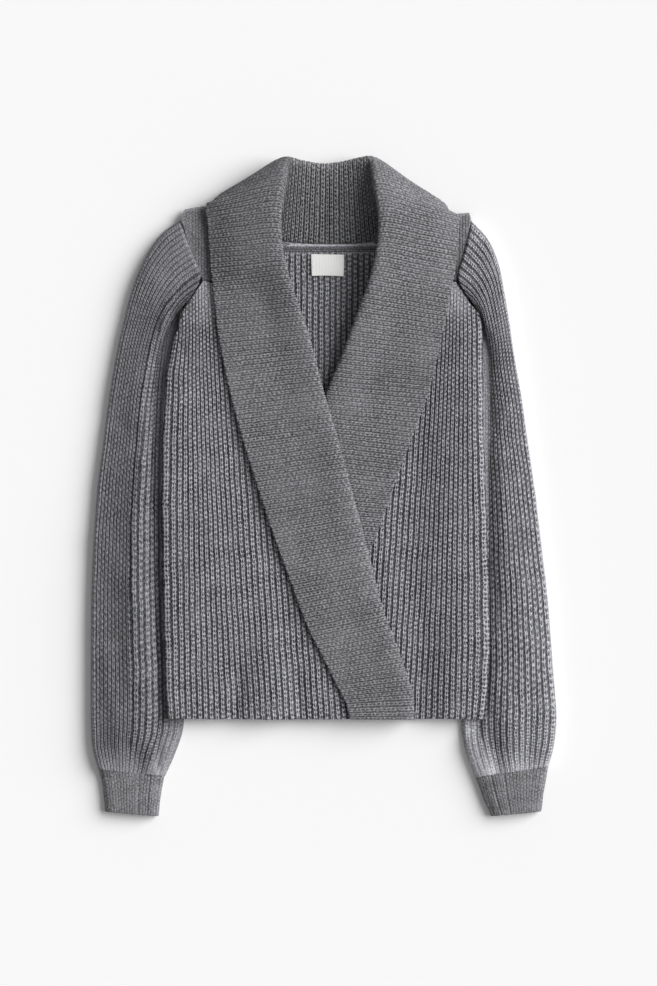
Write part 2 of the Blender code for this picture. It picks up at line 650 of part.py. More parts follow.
def make_tube(name, table, ribs, spread, upper_of, lower_of, material):
    """A flattened open tube whose upper outer face carries raised ribs."""
    ends = np.array(TUBE_TURN)
    if ribs:
        places = table_height(spread, np.linspace(*RIBBED_SHARE, 2 * ribs + 1))
        upper = np.concatenate([ends, places, 1.0 - ends[1:2]])
    else:
        upper = np.concatenate([ends, np.linspace(*PLAIN_SHARE, 7), 1.0 - ends[:0:-1]])
    lower = np.array(TUBE_UNDERSIDE)
    plain = np.array(TUBE_INSIDE)
    rise = np.zeros(len(upper) + len(lower))
    if ribs:
        rise[4 : 3 + 2 * ribs : 2] = RIB_RISE
    rings, inner_rings = [], []
    for table_row in table:
        width = np.hypot(table_row[2] - table_row[0], table_row[3] - table_row[1]) * CHART_UNIT_MM
        for share, relief, target, offset in (
            (upper, rise, rings, HALF_WALL),
            (plain, None, inner_rings, -HALF_WALL),
        ):
            top = tube_rings([table_row], share, upper_of, lower_of)[0][0]
            bottom = tube_rings([table_row], lower, upper_of, lower_of)[0][1]
            loop = np.concatenate([top, bottom])
            tangent = np.roll(loop, -1, axis=0) - np.roll(loop, 1, axis=0)
            direction = loop[len(top)] - loop[0]
            direction[2] = 0.0
            direction /= np.linalg.norm(direction)
            flat = tangent @ direction
            normal = -tangent[:, 2:3] * direction + np.array([0.0, 0.0, 1.0]) * flat[:, None]
            normal /= np.linalg.norm(normal, axis=1)[:, None]
            amount = np.full(len(loop), offset)
            if relief is not None:
                off_edge = (1.0 - share) * width
                mask = smooth((off_edge - RIBS_END_INSIDE) / TUBE_RIB_FADE)
                amount[: len(top)] += relief[: len(top)] * mask
            target.append(loop + normal * amount[:, None])
    wall = Wall()
    outer = wall.grid(np.array(rings), False, wrap=True)
    inner = wall.grid(np.array(inner_rings), True, wrap=True)
    wall.close_tube(inner, outer)
    return wall.build(name, material)


def make_patch(name, x, y, z, thickness, material):
    """A small wall of even thickness over a grid of plan places."""
    base = chart_to_mm(x, y, z)
    wall = Wall()
    upper = wall.grid(base + np.array([0.0, 0.0, thickness]), True)
    lower = wall.grid(base, False)
    wall.close_sheet(upper, lower)
    return wall.build(name, material)


def make_yoke(name, table, material):
    rows = np.array(table, float)
    across = np.array([0.0, 0.12, 0.24, 0.36, 0.6, 1.0])
    x = rows[:, 1:2] + (rows[:, 2:3] - rows[:, 1:2]) * across
    y = rows[:, 0:1] + (rows[:, 3:4] - rows[:, 0:1]) * across
    y = y - rows[:, 5:6] * table_height(YOKE_BOW, across)
    z = rows[:, 4:5] - HALF_WALL + 0.0 * across
    return make_patch(name, x, y, z, 2.0 * HALF_WALL, material)


def make_on_back(name, box, lift, thickness, counts, material):
    x, y = np.meshgrid(np.linspace(box[0], box[1], counts[0]), np.linspace(box[2], box[3], counts[1]))
    return make_patch(name, x, y, back_level(x, y) + lift, thickness, material)


for old in list(bpy.data.objects):
    bpy.data.objects.remove(old)
SWEATER = bpy.data.collections.new("wrap_sweater")
bpy.context.scene.collection.children.link(SWEATER)

rib_grey = (0.175, 0.178, 0.19)
body_wool = new_material("rib_knit", rib_grey, 0.95)
back_wool = new_material("back_knit", (0.15, 0.152, 0.16), 0.95)
sleeve_wool = new_material("sleeve_knit", rib_grey, 0.95)
collar_wool = new_material("collar_knit", (0.19, 0.193, 0.205), 0.95)
cuff_wool = new_material("cuff_knit", rib_grey, 0.95)
yoke_wool = new_material("yoke_knit", (0.18, 0.183, 0.195), 0.95)
tape_wool = new_material("tape_knit", (0.15, 0.152, 0.16), 0.95)
label_satin = new_material("label_satin", (0.72, 0.72, 0.7), 0.6)

half_pitch = FRONT_RIB_PITCH / 2
make_front(
    "front_left",
    1,
    np.arange(*LEFT_PANEL_X, half_pitch),
    np.array(LEFT_PLAIN_X),
    LEFT_FRONT_TOP,
    LEFT_BAND,
    body_wool,
)
make_front(
    "front_right",
    2,
    np.arange(*RIGHT_PANEL_X, -half_pitch),
    np.array(RIGHT_PLAIN_X),
    RIGHT_FRONT_TOP,
    RIGHT_BAND,
    body_wool,
)
make_back(back_wool)
left_rows = len(LEFT_NECK) + len(LEFT_BAND) - 1
make_collar("collar_left", LEFT_NECK, LEFT_BAND, 1, left_rows, collar_wool)
right_rows = len(RIGHT_NECK) + RIGHT_COLLAR_RIB_ROWS
make_collar("collar_right", RIGHT_NECK, RIGHT_BAND, 2, right_rows, collar_wool)
for side_name, sleeve, ribs, spread, cuff in (
    ("left", LEFT_SLEEVE, LEFT_SLEEVE_RIBS, LEFT_RIB_SPREAD, LEFT_CUFF),
    ("right", RIGHT_SLEEVE, RIGHT_SLEEVE_RIBS, RIGHT_RIB_SPREAD, RIGHT_CUFF),
):
    make_tube("sleeve_" + side_name, sleeve, ribs, spread, sleeve_upper, sleeve_lower, sleeve_wool)
    make_tube("cuff_" + side_name, cuff, 0, (), cuff_upper, cuff_lower, cuff_wool)
make_yoke("yoke_left", LEFT_YOKE, yoke_wool)
make_yoke("yoke_right", RIGHT_YOKE, yoke_wool)
make_on_back("neck_tape", TAPE_BOX, HALF_WALL + 0.8, TRIM_THICKNESS, (9, 3), tape_wool)
make_on_back("neck_label", LABEL_BOX, HALF_WALL + RIB_RISE + 0.5, TRIM_THICKNESS, (4, 4), label_satin)
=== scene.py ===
import bpy
import numpy as np
from bpy.props import FloatProperty, FloatVectorProperty, PointerProperty
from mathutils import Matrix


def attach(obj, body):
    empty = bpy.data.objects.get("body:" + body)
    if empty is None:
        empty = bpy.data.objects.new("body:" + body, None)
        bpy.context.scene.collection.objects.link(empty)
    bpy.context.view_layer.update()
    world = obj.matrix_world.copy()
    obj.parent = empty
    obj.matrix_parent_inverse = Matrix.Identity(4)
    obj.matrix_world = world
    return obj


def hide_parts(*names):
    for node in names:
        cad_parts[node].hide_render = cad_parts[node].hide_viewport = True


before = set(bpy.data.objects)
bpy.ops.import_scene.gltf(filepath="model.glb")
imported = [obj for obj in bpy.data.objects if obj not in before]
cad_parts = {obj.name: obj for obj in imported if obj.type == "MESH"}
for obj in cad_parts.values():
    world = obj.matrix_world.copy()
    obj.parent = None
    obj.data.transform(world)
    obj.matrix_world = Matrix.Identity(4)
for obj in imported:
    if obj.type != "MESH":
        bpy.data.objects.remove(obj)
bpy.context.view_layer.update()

bl_info = {
    "name": "Wrap Sweater Laid Flat",
    "version": (1, 0, 0),
    "blender": (4, 5, 0),
    "location": "View3D > Sidebar > Sweater",
    "description": "Knits a wrap-front shawl-collar sweater laid flat, and its photo table",
    "category": "Object",
}

CHART_UNIT_MM = 1.06
CHART_MIDDLE_X = 323.78
CHART_MIDDLE_Y = 486.64
MM = 0.001

HALF_WALL = 1.2
RIB_RISE = 1.4
SEAM_GAP = 2.8
FRONT_RIB_PITCH = 5.75
COLLAR_RIB_PITCH = 4.8
TRIM_THICKNESS = 1.1
LEFT_SLEEVE_RIBS = 18
RIGHT_SLEEVE_RIBS = 15
LEFT_SLEEVE_PUFF = 9.5
RIGHT_SLEEVE_PUFF = 2.5

HEM_Y = 718.5
SIDE_JOIN_Z = 11.75
SIDE_CURL = 9.0
SIDE_JOIN_GAP = 0.2
FRONT_LEVEL = 14.4
UNDER_LEVEL = 5.6
BACK_LEVEL = 1.2
BACK_SIDE_LEVEL = 9.1
OVER_LAYER_RISE = 4.8
SHOULDER_LIFT = 2.8
NECK_LIFT = 3.8

# Side edges of the body. Columns: chart y, left x, right x.
BODY_EDGES = (
    (212.0, 181.0, 475.0),
    (335.0, 176.5, 481.0),
    (371.0, 168.0, 481.5),
    (414.0, 164.6, 482.0),
    (460.0, 162.8, 483.0),
    (515.0, 162.0, 485.5),
    (589.0, 163.3, 488.5),
    (650.0, 165.0, 489.5),
    (690.0, 166.2, 487.0),
    (720.0, 168.4, 482.5),
)

# Upper end of the left front's ribs down to the collar seam. Columns: chart x, chart y.
LEFT_FRONT_TOP = (
    (165.0, 346.0),
    (176.0, 341.0),
    (184.0, 311.0),
    (191.0, 300.5),
    (197.0, 291.0),
    (204.0, 280.5),
    (212.0, 283.5),
    (243.0, 283.5),
)
RIGHT_FRONT_TOP = (
    (487.0, 346.0),
    (481.5, 341.0),
    (478.0, 314.0),
    (471.0, 306.0),
    (464.0, 295.6),
    (455.5, 282.5),
    (448.0, 282.5),
    (418.0, 283.5),
)

# Upper end of the back. Columns: chart x, chart y.
BACK_TOP = (
    (165.0, 346.0),
    (177.0, 341.0),
    (184.0, 329.5),
    (200.0, 287.0),
    (205.0, 240.0),
    (208.0, 220.5),
    (240.0, 229.0),
    (276.0, 241.4),
    (288.0, 243.9),
    (300.0, 244.7),
    (329.0, 244.7),
    (358.0, 244.3),
    (384.0, 241.2),
    (420.0, 230.6),
    (453.0, 222.5),
    (456.0, 240.0),
    (460.0, 287.0),
    (481.0, 340.0),
    (487.0, 346.0),
)

# Left collar half from the centre back round the neck to the hem.
# Columns: free edge x, y; roll x, y; then height of roll, fall middle and free edge.
# A middle x, y of the fall and the neck seam x, y, z follow for the neck rows.
LEFT_NECK = (
    (328.9, 236.0, 328.9, 168.2, 17.0, 328.9, 176.0, 4.0, 328.9, 243.4, 5.0, 2.5),
    (316.0, 234.0, 318.0, 168.0, 18.5, 317.0, 176.0, 4.2, 316.0, 243.2, 5.0, 2.5),
    (299.0, 230.0, 302.5, 165.6, 22.0, 300.0, 173.0, 5.0, 298.0, 242.6, 5.6, 2.5),
    (273.0, 222.0, 289.0, 162.0, 27.0, 273.0, 170.5, 8.0, 282.5, 240.4, 7.5, 2.5),
    (245.0, 213.0, 284.4, 166.5, 33.0, 243.0, 184.5, 10.0, 276.0, 238.0, 10.5, 2.5),
    (222.0, 208.0, 282.8, 178.0, 37.5, 221.0, 196.5, 12.5, 271.5, 237.0, 13.0, 4.5),
    (207.5, 205.5, 281.0, 191.0, 40.5, 228.0, 201.0, 27.0, 269.5, 238.5, 14.6, 16.5),
    (208.6, 224.0, 279.5, 216.0, 41.5, 235.0, 220.0, 32.0, 266.5, 247.0, 15.2, 20.5),
    (210.2, 247.0, 280.4, 243.0, 40.0, 238.0, 245.0, 31.5, 259.0, 262.0, 15.2, 20.5),
    (212.0, 272.0, 285.0, 266.0, 37.5, 242.0, 269.0, 30.0, 252.5, 279.0, 15.2, 20.2),
)
RIGHT_NECK = (
    (329.5, 236.0, 329.5, 168.2, 17.0, 329.5, 176.0, 4.0, 329.5, 243.4, 5.0, 2.5),
    (342.0, 234.0, 341.0, 167.0, 18.5, 341.0, 175.0, 4.2, 342.0, 243.2, 5.0, 2.5),
    (360.0, 230.0, 356.0, 163.5, 22.0, 358.0, 172.0, 5.0, 361.0, 242.6, 5.6, 2.5),
    (386.0, 224.0, 368.5, 161.8, 27.0, 383.0, 170.5, 8.0, 377.5, 241.0, 7.5, 2.5),
    (416.0, 218.0, 373.2, 167.5, 33.0, 414.0, 187.5, 10.0, 385.0, 239.5, 10.5, 2.5),
    (440.0, 215.5, 375.8, 179.0, 37.5, 441.0, 203.5, 12.5, 390.5, 239.0, 13.0, 4.5),
    (457.0, 216.5, 377.5, 193.0, 40.5, 432.0, 209.0, 27.0, 393.0, 240.5, 14.6, 16.5),
    (457.8, 229.0, 379.8, 213.0, 41.5, 427.0, 222.0, 32.0, 396.0, 248.0, 15.2, 20.5),
    (456.6, 249.0, 379.6, 236.0, 40.0, 424.0, 243.0, 31.5, 402.5, 262.0, 15.2, 20.5),
    (453.6, 275.0, 375.6, 262.0, 37.0, 419.0, 269.0, 29.0, 410.0, 279.0, 14.8, 19.8),
)

# Lower collar rows. Columns: free edge x, y; roll x, y; roll height above the seam.
LEFT_BAND = (
    (214.6, 300.0, 292.5, 292.0, 17.0),
    (218.0, 331.0, 303.0, 322.0, 13.0),
    (224.5, 366.0, 313.0, 356.0, 10.0),
    (232.5, 402.0, 322.0, 391.0, 8.0),
    (242.5, 438.0, 332.5, 426.0, 6.4),
    (253.0, 472.0, 341.5, 458.0, 5.4),
    (264.5, 508.0, 351.0, 494.0, 5.0),
    (275.5, 540.0, 359.5, 524.0, 4.8),
    (290.5, 581.0, 370.0, 565.0, 4.8),
    (307.0, 625.0, 381.5, 609.0, 4.8),
    (323.5, 658.0, 394.5, 644.0, 4.8),
    (336.5, 684.0, 405.0, 674.0, 4.8),
    (345.0, 700.0, 411.5, 695.0, 4.8),
    (350.5, 718.8, 412.6, 718.8, 4.8),
)
RIGHT_BAND = (
    (448.4, 303.0, 368.0, 288.0, 17.0),
    (442.6, 331.0, 357.0, 318.0, 12.5),
    (435.0, 366.0, 343.5, 355.0, 9.0),
    (427.2, 396.0, 330.0, 387.0, 5.0),
    (412.6, 436.0, 315.0, 425.0, 2.6),
    (397.6, 475.0, 303.0, 463.0, 2.6),
    (387.6, 505.0, 295.0, 497.0, 2.6),
    (377.0, 532.0, 288.0, 524.0, 2.6),
    (366.5, 560.0, 281.0, 552.0, 2.6),
    (350.0, 603.0, 268.0, 590.0, 2.6),
    (334.0, 640.0, 256.0, 628.0, 2.6),
    (317.0, 675.0, 246.0, 662.0, 2.6),
    (299.0, 714.0, 238.0, 714.0, 2.6),
)
SEAM_SHARE = 0.45
LAYER_SPACE = {1: 6.6, 2: 4.9}
NECK_RIB_ROWS = 7.0
ROLL_ROUNDNESS = 4.0
MOST_ROUNDNESS = 19.0


# Sleeve rings, cuff to shoulder. Columns: outer x, y; inner x, y; bow toward the body.
LEFT_SLEEVE = (
    (97.4, 769.0, 165.6, 776.0, 0.0),
    (91.5, 746.0, 177.0, 750.0, 0.0),
    (90.0, 715.0, 184.5, 722.0, 0.0),
    (90.0, 660.0, 184.0, 672.0, 0.0),
    (90.5, 600.0, 181.0, 613.0, 0.0),
    (92.5, 545.0, 179.0, 560.0, 0.0),
    (96.5, 490.0, 177.5, 508.0, 0.0),
    (102.5, 442.0, 176.5, 462.0, 0.5),
    (108.5, 396.0, 176.0, 420.0, 1.0),
    (116.0, 352.0, 176.2, 385.0, 2.5),
    (123.5, 318.0, 176.4, 364.0, 5.0),
    (132.5, 285.0, 176.4, 353.0, 9.0),
    (145.0, 256.0, 176.4, 346.5, 14.0),
    (161.0, 233.5, 176.4, 342.0, 19.0),
    (179.5, 219.5, 176.4, 338.0, 21.8),
)
RIGHT_SLEEVE = (
    (549.6, 766.0, 474.0, 777.0, 0.0),
    (555.0, 745.0, 464.5, 750.0, 0.0),
    (557.6, 715.0, 460.5, 722.0, 0.0),
    (553.5, 660.0, 466.5, 672.0, 0.0),
    (549.0, 600.0, 468.0, 613.0, 0.0),
    (542.5, 545.0, 469.5, 560.0, 0.0),
    (536.0, 490.0, 470.5, 508.0, 0.0),
    (529.0, 442.0, 471.5, 462.0, 0.5),
    (522.5, 396.0, 474.0, 420.0, 1.0),
    (515.5, 356.0, 477.0, 385.0, 2.5),
    (510.5, 322.0, 479.6, 364.0, 4.0),
    (505.0, 290.0, 481.0, 353.0, 7.0),
    (499.0, 262.0, 481.6, 346.5, 10.0),
    (488.5, 238.0, 482.0, 342.0, 15.0),
    (471.5, 219.5, 482.0, 338.0, 18.0),
)
LEFT_CUFF = (
    (98.6, 769.5, 165.0, 776.5),
    (101.6, 781.0, 162.8, 787.0),
    (103.4, 793.0, 160.6, 801.0),
    (104.6, 806.0, 159.8, 810.5),
    (105.0, 811.0, 159.0, 815.8),
)
RIGHT_CUFF = (
    (548.4, 766.5, 474.8, 777.5),
    (546.0, 780.0, 479.5, 789.0),
    (543.6, 793.0, 484.0, 801.5),
    (542.2, 806.0, 488.6, 811.0),
    (541.2, 811.0, 490.4, 815.8),
)

# Flattened sleeve. Columns: distance from the edge, height of the upper layer.
SLEEVE_OUTER_RISE = ((0, 5.6), (1.2, 9.2), (4, 12.2), (10, 15.0), (22, 16.8), (60, 17.2))
SLEEVE_LOWER_RISE = ((0, 3.7), (1.2, 2.3), (4, 1.4), (8, 1.2), (60, 1.2))
CUFF_RISE = ((0, 4.8), (1.2, 7.4), (4, 9.6), (10, 11.2), (24, 12.0), (60, 12.0))

# Inner side of a sleeve where the body does not lie over it. Columns: mm from the edge, mm high.
SLEEVE_OPEN_RISE = ((0, 3.9), (1.2, 7.2), (4, 10.2), (10, 12.4), (26, 14.2), (62, 17.2))

# Extra height of a puffed sleeve, as a share of its puff. Columns: mm from the outer edge, share.
PUFF_SHAPE = ((0, 0.0), (10, -0.12), (22, 0.35), (36, 1.0), (46, 0.92), (60, 0.4), (74, 0.0))

# Where ribs crowd together on the far slope of a sleeve. Columns: share of ribs, share of width.
LEFT_RIB_SPREAD = ((0.0, 0.0), (0.53, 0.43), (1.0, 1.0))
RIGHT_RIB_SPREAD = ((0.0, 0.0), (1.0, 1.0))

# Armhole outline. Columns: share from the shoulder to the underarm, share of the bow.
ARMHOLE_BOW = (
    (0.0, 0.0),
    (0.1, 0.2),
    (0.23, 0.43),
    (0.33, 0.66),
    (0.42, 0.88),
    (0.48, 0.96),
    (0.55, 0.88),
    (0.62, 0.66),
    (0.69, 0.38),
    (0.76, 0.15),
    (0.85, 0.04),
    (1.0, 0.0),
)

# Yoke wedges. Columns: chart y and x of the sleeve end, neck end x and y, height and
# how far the row bows toward the neck.
LEFT_YOKE = (
    (209.6, 186.0, 262.0, 236.5, 7.2, 9.5),
    (219.0, 183.0, 262.0, 241.0, 11.6, 5.0),
    (231.0, 186.0, 260.0, 247.5, 14.0, 2.0),
    (247.0, 190.0, 255.5, 256.5, 14.6, 0.0),
    (260.0, 195.0, 250.6, 267.0, 14.4, 0.0),
    (278.0, 204.0, 245.0, 280.0, 14.4, 0.0),
)
RIGHT_YOKE = (
    (213.0, 468.0, 401.5, 238.0, 7.2, 4.5),
    (221.0, 469.6, 401.5, 242.0, 11.6, 2.5),
    (231.0, 467.2, 403.5, 248.5, 14.0, 0.0),
    (243.0, 464.6, 407.5, 256.5, 14.6, 0.0),
    (256.0, 461.0, 412.5, 266.5, 14.4, 0.0),
    (278.0, 455.2, 418.0, 280.0, 14.2, 0.0),
)
YOKE_BOW = ((0.0, 0.0), (0.24, 1.0), (0.6, 0.4), (1.0, 0.0))

TAPE_BOX = (282.0, 377.0, 246.8, 252.0)
LABEL_BOX = (311.2, 344.0, 254.4, 276.2)

# Finer knit than the solids hold: stitch pitches and laps in chart units, heights in mm. The
# right collar half is ribbed over this many rows of its band; the rest lies under the left one.
STITCH_PITCH = 4.7
COLLAR_STITCH_PITCH = 4.3
CUFF_STITCH_PITCH = 3.1
CUFF_RIBS = 20
CUFF_DEEP_RIBS = (0.62, 0.8, 0.93)
RIB_FOOT = 0.7
RIGHT_COLLAR_RIB_ROWS = 8
SEAM_LAP = 1.0
HEAD_LAP = 2.4
YOKE_LAP = 3.0
RIB_CROWDING = 1.2
# Share of the body yarn in a darker copy of the rib wool: painted shade on the left sleeve and the neck
# tape.
PAINTED_SHADE_SHARE = 0.58
TAPE_RIB_PITCH = 2.6
TAPE_STITCH_PITCH = 3.0
TAPE_RELIEF = 0.35

# Fronts: how far the wales lean, over what width, where they soften beside the collar and
# where each hem ends under the other front, in chart units.
FRONT_LEAN = 0.062
FRONT_LEAN_REACH = 90.0
SOFT_TOP_Y = 338.0
RIGHT_FRONT_HEM_END = 279.0
LEFT_FRONT_HEM_END = 376.0

# Back: plan x of its plain columns, the ribbed span that shows through the neck and its seam.
BACK_LEFT_COLUMNS = (168.4, 171.0, 174.5, 180.0, 187.0, 194.0, 205.0, 216.0, 232.0, 252.0)
BACK_RIGHT_COLUMNS = (405.0, 425.0, 438.0, 449.0, 462.0, 468.0, 472.0, 476.5, 480.0, 482.5)
BACK_RIBBED_X = (272.0, 388.1)
NECK_SEAM_Y = 251.0

# Plan places along a sleeve where the body starts and stops lying over it, where the puff
# starts and stops, and where the tube gathers toward the cuff.
COVER_START = 288.0
COVER_END = 722.0
PUFF_START = 262.0
PUFF_END = 730.0
GATHER_START = 735.0

# Flat cut of each sheet, in metres: width, length. A tube's width is all round.
FLAT = {
    "back": (0.37, 0.53),
    "front": (0.24, 0.47),
    "collar": (0.2, 0.66),
    "sleeve": (0.22, 0.62),
    "cuff": (0.13, 0.055),
    "yoke": (0.08, 0.07),
    "tape": (0.102, 0.0102),
    "label": (0.0355, 0.0238),
}

# Wool looks. Columns: material, yarn colour, share of it (under one, a darker copy as painted shade),
# painted groove shade (how light it stays), painted hole shade, heather, fineness, relief in metres.
WOOLS = (
    ("rib_wool", "body", 1.0, 0.0, 0.85, 0.5, 0.0, 0.0011),
    ("close_rib_wool", "body", PAINTED_SHADE_SHARE, 0.0, 0.7, 0.5, 0.2, 0.0011),
    ("collar_wool", "collar", 1.0, 0.1, 1.0, 0.6, 1.0, 0.0007),
    ("fine_wool", "cuff", 1.0, 0.12, 0.85, 0.55, 0.5, 0.0007),
)

# Noise scales in the wool, a metre: straying stitches, fibres, specks, slow drift and fuzz.
STRAY_SCALE = 300.0
FIBRE_SCALE = 520.0
SPECK_SCALE = 1100.0
DRIFT_SCALE = 9.0
FUZZ_SCALE = 1400.0
SATIN_WAVE_SCALE = 1100.0
HEAD_TAPER = 7.0

# Sleeve heights above the solids' even slopes. Columns: mm from an edge, mm high or share.
LEFT_INNER_RISE = ((0, 3.7), (1.2, 5.2), (4, 5.4), (14, 4.4), (26, 4.2), (30, 8.5), (36, 15.0), (48, 17.2))
RIGHT_INNER_RISE = ((0, 3.7), (1.2, 5.2), (4, 6.1), (20, 6.4), (26, 11.5), (33, 14.6), (62, 17.2))
LEFT_PUFF_SHAPE = (
    (0, 0.0), (10, -0.32), (22, -0.1), (34, 0.45), (43, 1.0), (49, 0.95), (62, 0.4), (74, 0.0),
)

# Label, in mm, with the shares of its width where it is sewn.
LABEL_THICKNESS = 0.6
LABEL_STITCH_SHARES = (0.045, 0.955)

# Table, light and camera, in metres, radians and millimetres of lens.
TABLE_WIDTH = 8.0
KEY_SPREAD = 0.85
KEY_TURN = 0.35
SENSOR_WIDTH = 36.0
FRAME_HEIGHT = 1.04516
CAMERA_OVER = (0.005, -0.00674)

COLUMNS_PER_RIB = 6
BODY_ROWS = 400
SLEEVE_ROWS = 440

# Soft folds in the laid cloth. Columns: start x, y; end x, y; half width; height in mm.
LEFT_FRONT_FOLDS = (
    (268.0, 648.0, 264.0, 716.0, 18.0, 4.2),
    (240.0, 672.0, 236.0, 716.0, 7.0, -3.0),
    (298.0, 676.0, 300.0, 716.0, 7.0, -2.6),
    (226.0, 420.0, 268.0, 560.0, 13.0, -1.6),
    (190.0, 330.0, 186.0, 450.0, 12.0, 1.2),
    (205.0, 520.0, 196.0, 640.0, 22.0, 1.0),
    (182.0, 352.0, 206.0, 400.0, 8.0, -1.0),
)
RIGHT_FRONT_FOLDS = (
    (462.0, 330.0, 470.0, 470.0, 14.0, 1.4),
    (440.0, 420.0, 430.0, 600.0, 20.0, 1.5),
    (474.0, 350.0, 452.0, 392.0, 8.0, -1.0),
    (404.0, 520.0, 412.0, 640.0, 12.0, -1.2),
    (455.0, 640.0, 448.0, 716.0, 16.0, 1.2),
)
LEFT_SLEEVE_FOLDS = (
    (118.0, 420.0, 160.0, 458.0, 10.0, -1.5),
    (104.0, 540.0, 140.0, 600.0, 12.0, 1.4),
    (108.0, 650.0, 120.0, 745.0, 9.0, 1.6),
    (132.0, 690.0, 138.0, 768.0, 7.0, -1.8),
    (150.0, 716.0, 152.0, 772.0, 6.0, 1.8),
    (160.0, 726.0, 158.0, 768.0, 4.0, -1.6),
)
RIGHT_SLEEVE_FOLDS = (
    (500.0, 430.0, 532.0, 470.0, 10.0, -1.4),
    (514.0, 560.0, 530.0, 690.0, 12.0, 1.4),
    (536.0, 660.0, 530.0, 760.0, 8.0, -1.6),
    (506.0, 700.0, 512.0, 768.0, 8.0, 1.8),
    (492.0, 716.0, 498.0, 770.0, 5.0, -2.0),
    (480.0, 728.0, 488.0, 772.0, 5.0, 1.6),
)


def chart_to_mm(x, y, z):
    """Chart place and height in millimetres as one array of points."""
    x, y, z = np.broadcast_arrays(x, y, z)
    return np.stack(
        [
            (x - CHART_MIDDLE_X) * CHART_UNIT_MM,
            (CHART_MIDDLE_Y - y) * CHART_UNIT_MM,
            z.astype(float),
        ],
        axis=-1,
    )


def column(table, index):
    return np.array([row[index] for row in table], float)


def table_height(table, distance):
    return np.interp(distance, column(table, 0), column(table, 1))


def smooth(value):
    """0 to 1 with level ends."""
    value = np.clip(value, 0.0, 1.0)
    return value * value * (3.0 - 2.0 * value)


def curve_rows(table, places):
    """Rows of a table at fractional row places, through each row without corners."""
    table = np.asarray(table, float)
    last = len(table) - 1
    places = np.clip(places, 0.0, last)
    low = np.minimum(places.astype(int), last - 1)
    part = (places - low)[:, None]
    before = table[np.maximum(low - 1, 0)]
    start, end = table[low], table[low + 1]
    after = table[np.minimum(low + 2, last)]
    pull = end - before
    lead = after - start
    a = 2 * start - 2 * end + 0.5 * pull + 0.5 * lead
    b = -3 * start + 3 * end - pull - 0.5 * lead
    return ((a * part + b) * part + 0.5 * pull) * part + start


def even_rows(table, count, line):
    """Fractional row places whose points on one line of the table lie evenly apart."""
    dense = np.linspace(0.0, len(table) - 1, 40 * len(table))
    points = curve_rows(table, dense)[:, list(line)]
    steps = np.linalg.norm(np.diff(points, axis=0), axis=1)
    length = np.concatenate([[0.0], np.cumsum(steps)])
    return np.interp(np.linspace(0.0, length[-1], count), length, dense), length[-1]


def fold_height(x, y, folds):
    """Height that soft folds and hollows add at chart places."""
    total = np.zeros(np.broadcast(x, y).shape)
    for x0, y0, x1, y1, half_width, height in folds:
        run = np.array([x1 - x0, y1 - y0])
        length = np.hypot(*run)
        along = ((x - x0) * run[0] + (y - y0) * run[1]) / length**2
        aside = ((x - x0) * run[1] - (y - y0) * run[0]) / length
        past = np.maximum(np.maximum(-along, along - 1.0) * length, 0.0)
        total += height * np.exp(-(aside**2 + past**2) / half_width**2)
    return total


def wobble(x, y, size, seed):
    """A smooth uneven value from -1 to 1 that drifts over about this many chart units."""
    x, y = x / size, y / size
    first = np.sin(1.7 * x + 1.1 * y + seed) * np.cos(0.9 * x - 1.6 * y + 2.3 * seed)
    second = np.sin(3.1 * x - 2.2 * y + 4.1 * seed) * np.cos(2.4 * x + 2.9 * y - seed)
    return 0.65 * first + 0.35 * second


def knit_ridge(across, along, notch=0.24):
    """Height from 0 to 1 of a column of V stitches; a whole number of across is a groove."""
    along = along + 0.5 * (np.floor(across) % 2.0)
    side = np.abs(2.0 * (across % 1.0) - 1.0)
    ridge = np.sqrt(np.clip(1.0 - side**2.2, 0.0, 1.0))
    leg = 0.5 + 0.5 * np.cos(2.0 * np.pi * (along - 0.42 * side))
    middle = np.exp(-((side / 0.24) ** 2)) * notch * (1.6 - leg)
    return ridge * (0.72 + 0.28 * leg) * (1.0 - middle)


